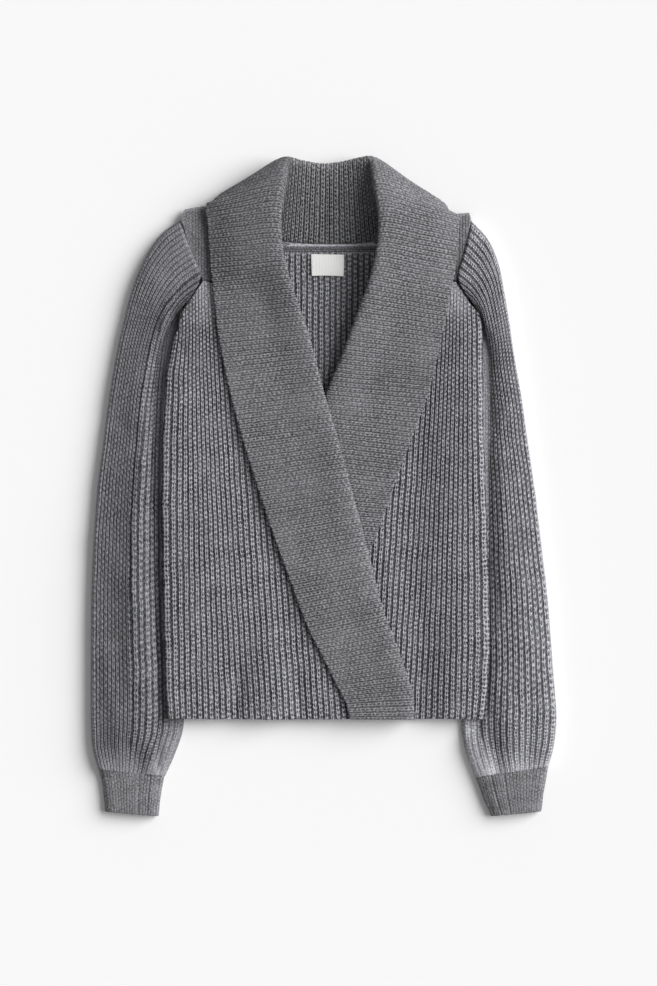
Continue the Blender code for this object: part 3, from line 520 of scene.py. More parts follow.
class Wall:
    """One closed wall of cloth, gathered from grids of points joined at their rims."""

    def __init__(self):
        self.points = []
        self.faces = []
        self.stitches = []
        self.count = 0

    def grid(self, points, wrap=False, stitches=(0.5, 0.0, 0.0), outward=True):
        """Faces over a grid of points; stitches is the rib count, the stitch count and the strength of the
        painted shade in their grooves, holes and between their legs.
        """
        rows, columns = points.shape[:2]
        places = self.count + np.arange(rows * columns).reshape(rows, columns)
        self.points.append(points.reshape(-1, 3))
        sized = [np.broadcast_to(part, points.shape[:2]) for part in stitches]
        self.stitches.append(np.stack(sized, axis=-1))
        self.count += rows * columns
        turned = np.concatenate([places, places[:, :1]], axis=1) if wrap else places
        corners = [turned[:-1, :-1], turned[:-1, 1:], turned[1:, 1:], turned[1:, :-1]]
        faces = np.stack(corners, axis=-1).reshape(-1, 4)
        self.faces += (faces if outward else faces[:, ::-1]).tolist()
        return places

    def strip(self, first, second, outward):
        """Triangles between two rims that may hold different numbers of points."""
        i, j = 0, 0
        ends = len(first) - 1, len(second) - 1
        while i < ends[0] or j < ends[1]:
            on_first = j == ends[1] or (i < ends[0] and (i + 1) * ends[1] <= (j + 1) * ends[0])
            third = first[i + 1] if on_first else second[j + 1]
            face = [int(first[i]), int(second[j]), int(third)]
            self.faces.append(face if outward else face[::-1])
            i, j = (i + 1, j) if on_first else (i, j + 1)

    def close_sheet(self, outer, inner):
        self.strip(outer[0], inner[0], True)
        self.strip(outer[-1], inner[-1], False)
        self.strip(outer[:, 0], inner[:, 0], False)
        self.strip(outer[:, -1], inner[:, -1], True)

    def close_tube(self, outer, inner):
        rims = [np.append(ring, ring[0]) for ring in (outer[0], inner[0], outer[-1], inner[-1])]
        self.strip(rims[0], rims[1], True)
        self.strip(rims[2], rims[3], False)

    def points_outward(self, points):
        total = 0.0
        for size in (3, 4):
            faces = np.array([face for face in self.faces if len(face) == size])
            for second in range(1, size - 1):
                if len(faces):
                    a, b, c = (points[faces[:, k]] for k in (0, second, second + 1))
                    total += np.einsum("ij,ij->", a, np.cross(b, c))
        return total > 0.0

    def build(self, name, material):
        """The wall as an object whose faces all point out of the cloth."""
        points = np.concatenate(self.points)
        faces = self.faces
        if not self.points_outward(points):
            faces = [face[::-1] for face in faces]
        mesh = bpy.data.meshes.new(name)
        mesh.from_pydata((points * MM).tolist(), [], faces)
        mesh.polygons.foreach_set("use_smooth", [True] * len(mesh.polygons))
        stitches = np.concatenate([part.ravel() for part in self.stitches]).astype(np.float32)
        mesh.attributes.new("stitch", "FLOAT_VECTOR", "POINT").data.foreach_set("vector", stitches)
        mesh.materials.append(material)
        mesh.update()
        piece = bpy.data.objects.new(name, mesh)
        bpy.context.scene.collection.objects.link(piece)
        return piece


def grid_area(points):
    """Area in square metres of a grid of points given in millimetres."""
    first = points[1:, 1:] - points[:-1, :-1]
    second = points[:-1, 1:] - points[1:, :-1]
    return 0.5 * np.linalg.norm(np.cross(first, second), axis=2).sum() * MM * MM


def declare_cloth(piece, node, flat, area):
    """Every sheet of the sweater rides on the one body and stands for its own node."""
    area = min(max(area, 0.31 * flat[0] * flat[1]), flat[0] * flat[1])
    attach(piece, "root")
    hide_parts(node)


def edge_x(y, side):
    return np.interp(y, column(BODY_EDGES, 0), column(BODY_EDGES, side))


def front_level(x, y, side):
    """Height of a front's middle layer before its side edge curls down."""
    inside = np.abs(x - edge_x(y, side)) * CHART_UNIT_MM
    if side == 1:
        return np.full(np.shape(inside), FRONT_LEVEL)
    inner = FRONT_LEVEL + (UNDER_LEVEL - FRONT_LEVEL) * smooth((y - 285.0) / 140.0)
    return FRONT_LEVEL + (inner - FRONT_LEVEL) * smooth((inside - 24.0) / 52.0)


def back_level(x, y):
    """Height of the back's middle layer: raised over the sleeves and at its upper end."""
    inside = np.minimum(x - edge_x(y, 1), edge_x(y, 2) - x) * CHART_UNIT_MM
    over_sleeve = smooth((y - 296.0) / 44.0)
    side = (BACK_SIDE_LEVEL - BACK_LEVEL) * (1.0 - smooth((inside - 27.0) / 34.0)) * over_sleeve
    top = np.interp(x, column(BACK_TOP, 0), column(BACK_TOP, 1))
    below = np.exp(-np.maximum(y - top, 0.0) / 14.0)
    lift = SHOULDER_LIFT + (NECK_LIFT - SHOULDER_LIFT) * smooth((inside - 88.0) / 25.0)
    return BACK_LEVEL + side + lift * below * smooth((inside - 8.0) / 20.0)


def curled(x, y, level, side, facing):
    """Middle points and outward normals of a body panel whose side edge turns to the join."""
    sign = 1.0 if side == 1 else -1.0
    inside = np.maximum((x - edge_x(y, side)) * sign * CHART_UNIT_MM - HALF_WALL, 0.0)
    share = np.arccos(np.clip(1.0 - inside / SIDE_CURL, 0.0, 1.0))
    join = SIDE_JOIN_Z + facing * SIDE_JOIN_GAP
    z = join + (level - join) * np.sin(share)
    across = np.abs(level - join) * np.cos(share)
    up = SIDE_CURL * np.sin(share)
    size = np.hypot(across, up)
    flat = inside >= SIDE_CURL
    nx = np.where(flat, 0.0, -sign * across / size)
    nz = np.where(flat, 1.0, up / size)
    normal = np.stack([nx, np.zeros_like(nx), nz * facing], axis=-1)
    return chart_to_mm(x, y, z), normal


def column_lines(hem_x, lean, top, hem_y, fractions, side, follow=14.0):
    """Plan places of wall columns that run from the hem to a panel's upper end."""
    order = np.argsort(column(top, 0))
    top_x, top_y = column(top, 0)[order], column(top, 1)[order]
    start_edge = edge_x(hem_y, side)
    keep = np.exp(-np.abs(hem_x - start_edge) / follow)
    y_end = np.full(len(hem_x), 400.0)
    for _ in range(60):
        x_end = hem_x - lean * (hem_y - y_end) + keep * (edge_x(y_end, side) - start_edge)
        y_end = 0.5 * y_end + 0.5 * np.interp(x_end, top_x, top_y)
    y = hem_y + (y_end - hem_y) * np.asarray(fractions)[:, None]
    x = hem_x - lean * (hem_y - y) + keep * (edge_x(y, side) - start_edge)
    return x, y


def seam_of(band):
    """Plan line of the seam under a collar band."""
    rows = np.array(band, float)
    return rows[:, 2:4] + SEAM_SHARE * (rows[:, 0:2] - rows[:, 2:4])


def band_free_edge(y, side):
    """Chart x of a collar's free edge at a chart y."""
    neck, band = (LEFT_NECK, LEFT_BAND) if side == 1 else (RIGHT_NECK, RIGHT_BAND)
    edge = [(row[0], row[1]) for row in neck[6:]] + [(row[0], row[1]) for row in band]
    return np.interp(y, column(edge, 1), column(edge, 0))


def make_front(name, side, hem_x_end, top, band, folds, knit, material):
    """A front panel: wales run up from the hem and end at the collar seam or the armhole."""
    sign = 1.0 if side == 1 else -1.0
    top = list(top) + [(x - sign * SEAM_GAP, y) for x, y in seam_of(band)]
    start = edge_x(HEM_Y, side) + sign * 0.4
    fine = np.arange(0.0, abs(hem_x_end - start), FRONT_RIB_PITCH / COLUMNS_PER_RIB)
    hem_x = start + sign * fine
    lean = sign * FRONT_LEAN * smooth(fine / FRONT_LEAN_REACH)
    fractions = np.linspace(0.0, 1.0, BODY_ROWS)
    x, y = column_lines(hem_x, lean, top, HEM_Y, fractions, side)
    inside = np.abs(x - edge_x(y, side))
    level = front_level(x, y, side) + fold_height(x, y, folds) * smooth(inside / 12.0)
    if side == 2:
        level = np.maximum(level, UNDER_LEVEL)
    middle, normal = curled(x, y, level, side, 1.0)
    along = (HEM_Y - y) / STITCH_PITCH + 0.35 * wobble(x, y, 60.0, 1.0 + side)
    across = fine / FRONT_RIB_PITCH + 0.09 * wobble(x, y, 26.0, 4.0 * side)
    ridge = knit_ridge(across, along, 0.3)
    beside = np.abs(x - band_free_edge(y, side))
    ribs = 1.0 - 0.6 * smooth((SOFT_TOP_Y - y) / 60.0) * smooth((30.0 - beside) / 20.0)
    uneven = 1.0 + 0.08 * wobble(x, y, 22.0, 3.0 * side)
    rise = RIB_FOOT + knit.rib_depth / MM * ridge * ribs * uneven
    hem = np.exp(-(HEM_Y - y) / 3.0) * (0.55 * (ridge - 0.5) + 0.7 * wobble(x, 0.0 * y, 24.0, side))
    middle = middle - np.array([0.0, CHART_UNIT_MM, 0.0]) * hem[:, :, None]
    # Strength of the painted shade in the grooves and holes, weaker where the ribs soften beside the
    # collar.
    depth = np.clip((0.92 + 0.08 * wobble(x, y, 16.0, 7.0 * side)) * ribs, 0.0, 1.0)
    wall = Wall()
    outer = wall.grid(middle + normal * rise[:, :, None], stitches=(across, along, depth))
    thin = np.unique(np.append(np.arange(0, len(hem_x), 4), len(hem_x) - 1))
    rows = np.unique(np.append(np.arange(0, BODY_ROWS, 12), BODY_ROWS - 1))
    inner = wall.grid((middle - normal * HALF_WALL)[rows][:, thin], outward=False)
    wall.close_sheet(outer, inner)
    return wall.build(name, material), grid_area(middle[rows][:, thin])


def make_back(knit, material):
    """The back panel, whose inside shows through the neck: ribbed there, plain elsewhere."""
    ribs = np.arange(*BACK_RIBBED_X, FRONT_RIB_PITCH / COLUMNS_PER_RIB)
    columns = np.concatenate([BACK_LEFT_COLUMNS, ribs, BACK_RIGHT_COLUMNS])
    below = np.linspace(0.0, 0.62, 24)
    fractions = np.concatenate([below, np.linspace(0.625, 1.0, 112)])
    half = len(columns) // 2
    lean = np.zeros(len(columns))
    x_left, y_left = column_lines(columns[:half], lean[:half], BACK_TOP, HEM_Y, fractions, 1)
    x_right, y_right = column_lines(columns[half:], lean[half:], BACK_TOP, HEM_Y, fractions, 2)
    x, y = np.concatenate([x_left, x_right], axis=1), np.concatenate([y_left, y_right], axis=1)
    level = back_level(x, y)
    left_part = curled(x[:, :half], y[:, :half], level[:, :half], 1, -1.0)
    right_part = curled(x[:, half:], y[:, half:], level[:, half:], 2, -1.0)
    middle = np.concatenate([left_part[0], right_part[0]], axis=1)
    down = np.concatenate([left_part[1], right_part[1]], axis=1)
    along = (HEM_Y - y) / STITCH_PITCH + 0.3 * wobble(x, y, 50.0, 6.0)
    across = (x - BACK_RIBBED_X[0]) / FRONT_RIB_PITCH + 0.08 * wobble(x, y, 26.0, 3.0)
    ridge = knit_ridge(across, along, 0.3)
    shown = smooth((x - 270.0) / 4.0) * smooth((390.0 - x) / 4.0) * smooth((y - NECK_SEAM_Y) / 4.0)
    rise = HALF_WALL + (knit.rib_depth / MM * ridge - 0.6) * shown * smooth((y - NECK_SEAM_Y) / 5.0)
    wall = Wall()
    # Painted groove shade only on the ribs that show through the neck.
    inside = wall.grid(middle - down * rise[:, :, None], stitches=(across, along, 0.9 * shown))
    first, last = len(BACK_LEFT_COLUMNS), len(BACK_LEFT_COLUMNS) + len(ribs)
    middles = np.arange(first + 4, last - 2, 12)
    thin = np.concatenate([np.arange(first), middles, np.arange(last, len(columns))])
    rows = np.unique(np.append(np.arange(0, len(fractions), 6), len(fractions) - 1))
    outside = wall.grid((middle + down * HALF_WALL)[rows][:, thin], outward=False)
    wall.close_sheet(inside, outside)
    return wall.build("back_rib_knit", material), grid_area(middle[rows][:, thin])


def neck_rows(table):
    """Seam, roll, fall middle and free edge of the neck's collar sections."""
    rows = []
    for fx, fy, rx, ry, rz, mx, my, mz, sx, sy, sz, fz in table:
        xs, ys, zs = np.array([sx, rx, mx, fx]), np.array([sy, ry, my, fy]), np.array([sz, rz, mz, fz])
        rows.append([*chart_to_mm(xs, ys, zs)])
    return np.array(rows)


def band_rows(table, side, level_of):
    """Seam, roll, fall middle and free edge of the lower collar sections."""
    rows = []
    for fx, fy, rx, ry, rise in table:
        sx, sy = rx + SEAM_SHARE * (fx - rx), ry + SEAM_SHARE * (fy - ry)
        seam_z = level_of(sx, sy)
        free_z = level_of(fx, fy) + OVER_LAYER_RISE
        roll_z = seam_z + rise
        middle_z = max(0.45 * roll_z + 0.55 * free_z + 0.2, seam_z + LAYER_SPACE[side])
        heights = np.array([seam_z, roll_z, middle_z, free_z])
        rows.append([*chart_to_mm(np.array([sx, rx, sx, fx]), np.array([sy, ry, sy, fy]), heights)])
    return np.array(rows)


def collar_sections(stations, places, columns):
    """Points round each collar section: a straight-ended curve with a rounded roll."""
    rows = curve_rows(stations.reshape(len(stations), -1), places).reshape(len(places), 4, 3)
    seam, roll, fall, free = rows[:, 0], rows[:, 1], rows[:, 2], rows[:, 3]
    turn = fall - seam
    roundness = np.clip(ROLL_ROUNDNESS * (roll - seam)[:, 2:3], 6.0, MOST_ROUNDNESS)
    turn = turn / np.linalg.norm(turn, axis=1)[:, None] * roundness
    sweep = (free - roll) * 0.45
    out = []
    for place in columns:
        if place <= 1.0:
            start, end, leave, arrive, t = seam, roll, (roll - seam) * 0.9, turn, place
        elif place <= 2.0:
            start, end, leave, arrive, t = roll, fall, turn, sweep, place - 1.0
        else:
            start, end, leave, arrive, t = fall, free, sweep, (free - fall), place - 2.0
        h01 = t * t * (3.0 - 2.0 * t)
        h10, h11 = t * (1.0 - t) ** 2, t * t * (t - 1.0)
        out.append(start * (1.0 - h01) + end * h01 + leave * h10 + arrive * h11)
    return np.stack(out, axis=1)


def sheet_normals(points):
    normal = np.cross(np.gradient(points, axis=1), np.gradient(points, axis=0))
    return normal / np.linalg.norm(normal, axis=2)[:, :, None]


def make_collar(name, neck, band, side, rib_end, knit, material):
    """Half of the shawl collar: ribs cross the band, and on the stand they run up and down."""
    stations = np.concatenate(
        [
            neck_rows(neck),
            band_rows(band, side, lambda x, y: front_level(np.array(x), np.array(y), side).item()),
        ]
    )
    middles = stations[:, 1:3].mean(axis=1)
    spans = np.concatenate([[0.0], np.cumsum(np.linalg.norm(np.diff(middles, axis=0), axis=1))])
    ribbed = np.interp(rib_end, np.arange(len(stations)), spans)
    pitch = COLLAR_RIB_PITCH * CHART_UNIT_MM
    count = int(ribbed / pitch)
    lengths = np.linspace(0.0, ribbed, COLUMNS_PER_RIB * count + 1)
    across = np.arange(len(lengths)) / COLUMNS_PER_RIB
    depth = np.ones(len(lengths))
    if rib_end < len(stations) - 1:
        extra = np.linspace(ribbed, spans[-1], 30)[1:]
        lengths = np.concatenate([lengths, extra])
        across = np.concatenate([across, np.full(len(extra), 0.5)])
        depth = np.concatenate([depth, np.full(len(extra), 0.4)])
    places = np.interp(lengths, spans, np.arange(len(stations)))
    columns = np.unique(np.concatenate([np.linspace(0.0, 1.0, 30), np.linspace(1.0, 3.0, 66)]))
    points = collar_sections(stations, places, columns)
    sign = 1.0 if side == 1 else -1.0
    normals = sign * sheet_normals(points)
    steps = np.linalg.norm(np.diff(points, axis=1), axis=2)
    out_along = np.concatenate([np.zeros((len(points), 1)), steps], axis=1)
    wale = np.cumsum(out_along, axis=1) / (CHART_UNIT_MM * COLLAR_STITCH_PITCH)
    stand = smooth((NECK_RIB_ROWS - places) / 1.5)[:, None]
    face = np.where(columns[None, :] >= 0.8, 1.0, 0.25 + 0.75 * stand)
    deep = 1.0 + 0.75 * stand * smooth((1.05 - columns) / 0.2)[None, :]
    drift = wobble(points[:, :, 0], points[:, :, 1], 34.0, 5.0 + side)
    ridge = knit_ridge(across[:, None] + 0.06 * drift, wale + 0.3 * drift, 0.16)
    rise = RIB_FOOT + 0.3 + knit.collar_rib_depth / MM * ridge * face * deep * depth[:, None]
    edge = np.minimum(columns, 3.0 - columns)[None, :]
    soft = 0.5 * wobble(points[:, :, 0], points[:, :, 1], 70.0, 2.0 * side) * smooth(edge / 0.3)
    visible = smooth((columns - 1.0) / 0.25)[None, :]
    scallop = 0.55 * smooth((columns - 2.9) / 0.1)[None, :] * np.cos(2.0 * np.pi * across)[:, None]
    edge_way = points[:, -1:] - points[:, -6:-5]
    edge_way = edge_way / np.linalg.norm(edge_way, axis=2)[:, :, None]
    points = points - edge_way * scallop[:, :, None]
    wall = Wall()
    # Strength of the painted groove shade, fullest on the stand inside the neck.
    painted_knit_shade = 0.72 + 0.28 * stand * smooth((1.05 - columns) / 0.2)[None, :]
    painted_knit_shade = painted_knit_shade * (1.0 + 0.25 * drift) * depth[:, None]
    stitches = (across[:, None] + 0.06 * drift, wale + 0.3 * drift, np.clip(painted_knit_shade, 0.0, 1.0))
    outer = wall.grid(points + normals * (rise + soft * visible)[:, :, None], stitches=stitches)
    rows = np.unique(np.append(np.arange(0, len(places), 12), len(places) - 1))
    picked = np.arange(0, len(columns), 3)
    picked = np.unique(np.append(picked, len(columns) - 1))
    inner = wall.grid((points - normals * HALF_WALL)[rows][:, picked], outward=False)
    wall.close_sheet(outer, inner)
    return wall.build(name, material), grid_area(points[rows][:, picked])


def tube_loop(row, share, lower, upper_of, lower_of):
    """Middle points of one ring: across the upper layer, then back along the lower one."""
    ax, ay, bx, by, bow = row
    width = np.hypot(bx - ax, by - ay) * CHART_UNIT_MM
    inset = (HALF_WALL + 0.4) / width
    sign = 1.0 if ax < CHART_MIDDLE_X else -1.0
    span = width * (1.0 - 2.0 * inset)
    parts = []
    for shares, height_of in ((share, upper_of), (lower, lower_of)):
        t = inset + (1.0 - 2.0 * inset) * shares
        x = ax + (bx - ax) * t + sign * bow * table_height(ARMHOLE_BOW, t)
        y = ay + (by - ay) * t
        places = (x, y) if height_of in (sleeve_upper, cuff_upper) else ()
        parts.append((x, y, height_of(shares * span, (1.0 - shares) * span, *places)))
    return [np.concatenate(group) for group in zip(*parts)], width


def make_tube(name, table, count, share, lower, heights, folds, relief_of, material):
    """A flattened open tube, knitted round, with raised ribs on its upper face."""
    rows = np.array(table, float)
    if rows.shape[1] == 4:
        rows = np.concatenate([rows, np.zeros((len(rows), 1))], axis=1)
    places, length = even_rows(rows, count, (0, 1))
    rings, stitches, plain = [], [], []
    for number, row in enumerate(curve_rows(rows, places)):
        (x, y, z), width = tube_loop(row, share, lower, *heights)
        upper = np.arange(len(x)) < len(share)
        reach = places[number] / (len(rows) - 1) * length
        sewn = 1.0 - smooth((length - reach) / HEAD_TAPER) if folds else 0.0
        z = z + fold_height(x, y, folds) * upper * smooth((z - 6.0) / 6.0)
        z = z - 2.2 * sewn * upper * smooth((z - 8.0) / 5.0)
        loop = chart_to_mm(x, y, z)
        tangent = np.roll(loop, -1, axis=0) - np.roll(loop, 1, axis=0)
        direction = loop[len(share)] - loop[0]
        direction[2] = 0.0
        direction /= np.linalg.norm(direction)
        normal = -tangent[:, 2:3] * direction + np.array([0.0, 0.0, 1.0]) * (tangent @ direction)[:, None]
        normal /= np.linalg.norm(normal, axis=1)[:, None]
        rise, across, along, depth = relief_of(share, reach, x[: len(share)], y[: len(share)], width)
        amount = np.full(len(loop), HALF_WALL)
        amount[: len(share)] = rise + (HALF_WALL - rise) * sewn
        knit_row = np.zeros((3, len(loop)))
        knit_row[:, : len(share)] = np.broadcast_arrays(across, along, depth)
        rings.append(loop + normal * amount[:, None])
        stitches.append(knit_row)
        plain.append(loop - normal * HALF_WALL)
    rings, stitches, plain = np.array(rings), np.array(stitches), np.array(plain)
    wall = Wall()
    stitches = tuple(stitches.transpose(1, 0, 2))
    outer = wall.grid(rings, wrap=True, stitches=stitches, outward=False)
    row_pick = np.unique(np.append(np.arange(0, count, 10), count - 1))
    column_pick = np.arange(0, plain.shape[1], 5)
    inner_points = plain[row_pick][:, column_pick]
    inner = wall.grid(inner_points, wrap=True)
    wall.close_tube(inner, outer)
    closed = np.concatenate([inner_points, inner_points[:, :1]], axis=1)
    return wall.build(name, material), grid_area(closed)


def sleeve_upper(outer, inner, x, y):
    """Low beside the body that lies over it, rounder above the armhole and below the hem."""
    covered = smooth((y - COVER_START) / 20.0) * (1.0 - smooth((y - COVER_END) / 30.0))
    left = x < CHART_MIDDLE_X
    low = np.where(left, table_height(LEFT_INNER_RISE, inner), table_height(RIGHT_INNER_RISE, inner))
    free = table_height(SLEEVE_OPEN_RISE, inner)
    height = np.minimum(table_height(SLEEVE_OUTER_RISE, outer), free + (low - free) * covered)
    shape = np.where(left, table_height(LEFT_PUFF_SHAPE, outer), table_height(PUFF_SHAPE, outer))
    puff = np.where(left, LEFT_SLEEVE_PUFF, RIGHT_SLEEVE_PUFF)
    puff = puff * smooth((y - PUFF_START) / 70.0) * (1.0 - smooth((y - PUFF_END) / 40.0))
    height = height + puff * shape * smooth((inner - 24.0) / 16.0)
    end = smooth((y - GATHER_START) / 36.0)
    return height + (np.minimum(height, CUFF_RISE[-1][1]) - height) * end


def sleeve_lower(outer, inner):
    near_outer = table_height(SLEEVE_LOWER_RISE, outer) + 1.9 * np.clip(1.0 - outer / 1.2, 0.0, 1.0)
    return np.maximum(near_outer, table_height(SLEEVE_LOWER_RISE, inner))


def cuff_upper(outer, inner, x, y):
    return np.minimum(table_height(CUFF_RISE, outer), table_height(CUFF_RISE, inner))


def cuff_lower(outer, inner):
    edge = np.minimum(outer, inner)
    return table_height(SLEEVE_LOWER_RISE, edge) + 1.1 * np.clip(1.0 - edge / 1.2, 0.0, 1.0)


def make_sleeve(name, table, ribs, spread, folds, knit, material):
    even = np.linspace(0.02, 0.98, ribs * COLUMNS_PER_RIB + 1)
    share = np.concatenate([[0.0, 0.006], table_height(spread, even), [0.992]])
    count = np.concatenate([[0.0, 0.0], np.arange(len(even)) / COLUMNS_PER_RIB, [ribs]])
    lower = np.array([1.0, 0.985, 0.93, 0.8, 0.6, 0.4, 0.2, 0.07, 0.015])

    def relief_of(shares, length, x, y, width):
        off_inside = (1.0 - shares) * width
        mask = 0.45 + 0.55 * smooth((off_inside - 12.0) / 14.0)
        mask = mask * smooth(shares * width / 3.0) * (1.0 - 0.55 * smooth((y - 742.0) / 34.0))
        along = length / STITCH_PITCH + 0.3 * wobble(x, y, 40.0, 8.0)
        across = count + 0.09 * wobble(x, y, 26.0, 5.0)
        ridge = knit_ridge(across, along, 0.3)
        uneven = 1.0 + 0.08 * wobble(x, y, 20.0, 9.0)
        density = np.gradient(count) / np.gradient(shares) / ribs
        crowded = np.clip(RIB_CROWDING * (density - 1.0), 0.0, 0.5)
        # Strength of the painted groove shade, less where the ribs crowd together.
        depth = np.clip(mask * (0.9 - crowded + 0.08 * wobble(x, y, 16.0, 2.0)), 0.0, 1.0)
        return RIB_FOOT + knit.rib_depth / MM * ridge * mask * uneven, across, along, depth

    rows = [list(row) for row in table]
    rows[-1][4] += HEAD_LAP
    heights = (sleeve_upper, sleeve_lower)
    return make_tube(name, rows, SLEEVE_ROWS, share, lower, heights, folds, relief_of, material)


def make_cuff(name, table, knit, material):
    table = [(ax, ay - lap, bx, by - lap) for (ax, ay, bx, by), lap in zip(table, (SEAM_LAP, 0, 0, 0, 0))]
    share = np.concatenate([[0.0, 0.01], np.linspace(0.03, 0.97, 121), [0.99]])
    lower = np.array([1.0, 0.98, 0.93, 0.8, 0.5, 0.2, 0.07, 0.02])

    def relief_of(shares, length, x, y, width):
        across = shares * CUFF_RIBS + 0.12 * wobble(x, y, 12.0, 3.0)
        along = length / CUFF_STITCH_PITCH
        ridge = knit_ridge(across, along, 0.2)
        deep = sum(np.exp(-(((shares - place) / 0.014) ** 2)) for place in CUFF_DEEP_RIBS)
        lift = HALF_WALL + knit.cuff_rib_depth / MM * ridge - 0.9 * deep
        # The last value is the strength of the painted groove shade.
        return lift, across, along, np.clip(0.5 + 0.2 * wobble(x, y, 9.0, 1.0), 0.0, 1.0)

    return make_tube(name, table, 56, share, lower, (cuff_upper, cuff_lower), (), relief_of, material)


def make_patch(name, x, y, base, thickness, relief, stitches, material):
    """A small wall over a grid of plan places, with its relief on top."""
    wall = Wall()
    upper = wall.grid(chart_to_mm(x, y, base + thickness + relief), stitches=stitches)
    lower = wall.grid(chart_to_mm(x, y, base), outward=False)
    wall.close_sheet(upper, lower)
    return wall.build(name, material)


def make_yoke(name, table, knit, material):
    """A plain-knit wedge between the sleeve head and the collar, with a linked top edge."""
    rows = np.array(table, float)
    places, _ = even_rows(rows, 48, (0, 1))
    rows = curve_rows(rows, places)
    rows[:, 1] += np.sign(rows[:, 1] - rows[:, 2]) * SEAM_LAP
    rows[-6:, [0, 3]] += YOKE_LAP * np.linspace(0.0, 1.0, 6)[:, None]
    share = np.unique(np.concatenate([np.linspace(0.0, 0.5, 60), np.linspace(0.5, 1.0, 12)]))
    x = rows[:, 1:2] + (rows[:, 2:3] - rows[:, 1:2]) * share
    y = rows[:, 0:1] + (rows[:, 3:4] - rows[:, 0:1]) * share
    y = y - rows[:, 5:6] * table_height(YOKE_BOW, share)
    z = rows[:, 4:5] - HALF_WALL + 0.0 * share
    across, along = x / CUFF_STITCH_PITCH, y / CUFF_STITCH_PITCH
    ridge = knit_ridge(across, along, 0.2)
    edge = smooth(np.arange(len(rows))[:, None] / 3.0) * smooth(share / 0.03)[None, :]
    relief = (knit.cuff_rib_depth / MM * ridge) * edge
    # The stitches' third value is the strength of the painted groove shade.
    piece = make_patch(name, x, y, z, 2.0 * HALF_WALL, relief, (across, along, 0.6 * edge), material)
    return piece, grid_area(chart_to_mm(x, y, z))


def make_tape(material):
    left, right, top, bottom = TAPE_BOX
    x, y = np.meshgrid(np.linspace(left, right, 240), np.linspace(top, bottom, 11))
    across, along = y / TAPE_RIB_PITCH, x / TAPE_STITCH_PITCH
    relief = TAPE_RELIEF * knit_ridge(across, along, 0.2)
    base = back_level(x, y) + HALF_WALL + 0.8
    # 0.7 is the strength of the painted groove shade.
    stitches = (across, along, 0.7)
    piece = make_patch("neck_seam_tape", x, y, base, TRIM_THICKNESS, relief, stitches, material)
    return piece, grid_area(chart_to_mm(x, y, base))


def label_places(u, v):
    """Plan places and height of the label, a little bowed between its stitched ends."""
    x = LABEL_BOX[0] + (LABEL_BOX[1] - LABEL_BOX[0]) * u + 1.1 * (0.5 - u) * v * v
    y = LABEL_BOX[2] + (LABEL_BOX[3] - LABEL_BOX[2]) * v + 0.5 * u - 0.5 * np.sin(np.pi * u) * v
    base = back_level(x, y) + HALF_WALL + RIB_RISE + 0.5
    return x, y, base + 1.1 * np.sin(np.pi * v) * (0.35 + 0.65 * np.sin(np.pi * u)) + 0.8 * v * v


def make_label(material):
    """The blank woven label."""
    u, v = np.meshgrid(np.linspace(0.0, 1.0, 61), np.linspace(0.0, 1.0, 31))
    x, y, base = label_places(u, v)
    weave = 0.05 * np.cos(70.0 * u)
    piece = make_patch("woven_neck_label", x, y, base, LABEL_THICKNESS, weave, (0.0, 0.0, 0.0), material)
    return piece, grid_area(chart_to_mm(x, y, base))


def label_stitch_lines():
    """Points along the two sewn ends of the label."""
    v = np.linspace(0.05, 0.95, 30)
    ends = [label_places(np.full(len(v), u), v) for u in LABEL_STITCH_SHARES]
    return [chart_to_mm(x, y, base + LABEL_THICKNESS + 0.1) for x, y, base in ends]


def new_tree(name, sockets, kind="ShaderNodeTree"):
    """A node group with its named inputs and outputs. Each row: name, direction, type, default."""
    tree = bpy.data.node_groups.new(name, kind)
    for label, direction, socket_type, default in sockets:
        socket = tree.interface.new_socket(label, in_out=direction, socket_type=socket_type)
        if default is not None:
            socket.default_value = default
    return tree, tree.nodes.new("NodeGroupInput"), tree.nodes.new("NodeGroupOutput")


def add_node(tree, kind, values=(), **settings):
    node = tree.nodes.new(kind)
    for key, value in settings.items():
        setattr(node, key, value)
    for key, value in values:
        node.inputs[key].default_value = value
    return node


def calc(tree, operation, *values):
    """A math node over sockets or plain numbers; gives its output socket."""
    node = tree.nodes.new("ShaderNodeMath")
    node.operation = operation
    for place, value in zip(node.inputs, values):
        if isinstance(value, bpy.types.NodeSocket):
            tree.links.new(value, place)
        else:
            place.default_value = value
    return node.outputs["Value"]


def ease(tree, value, low, high):
    """0 below low to 1 above high with level ends."""
    ends = (("From Min", low), ("From Max", high))
    node = add_node(tree, "ShaderNodeMapRange", ends, interpolation_type="SMOOTHSTEP")
    tree.links.new(value, node.inputs["Value"])
    return node.outputs["Result"]


def wave(tree, turns):
    """Half a cosine wave from 0 to 1 for a number of turns."""
    angle = calc(tree, "MULTIPLY", turns, 2.0 * np.pi)
    return calc(tree, "MULTIPLY_ADD", calc(tree, "COSINE", angle), 0.5, 0.5)


def noise(tree, scale, detail):
    place = add_node(tree, "ShaderNodeTexCoord")
    node = add_node(tree, "ShaderNodeTexNoise", (("Scale", scale), ("Detail", detail), ("Roughness", 0.62)))
    tree.links.new(place.outputs["Object"], node.inputs["Vector"])
    return node


def centred_noise(tree, scale, detail, amount):
    """Noise either side of zero."""
    centred = calc(tree, "SUBTRACT", noise(tree, scale, detail).outputs["Fac"], 0.5)
    return calc(tree, "MULTIPLY", centred, amount)


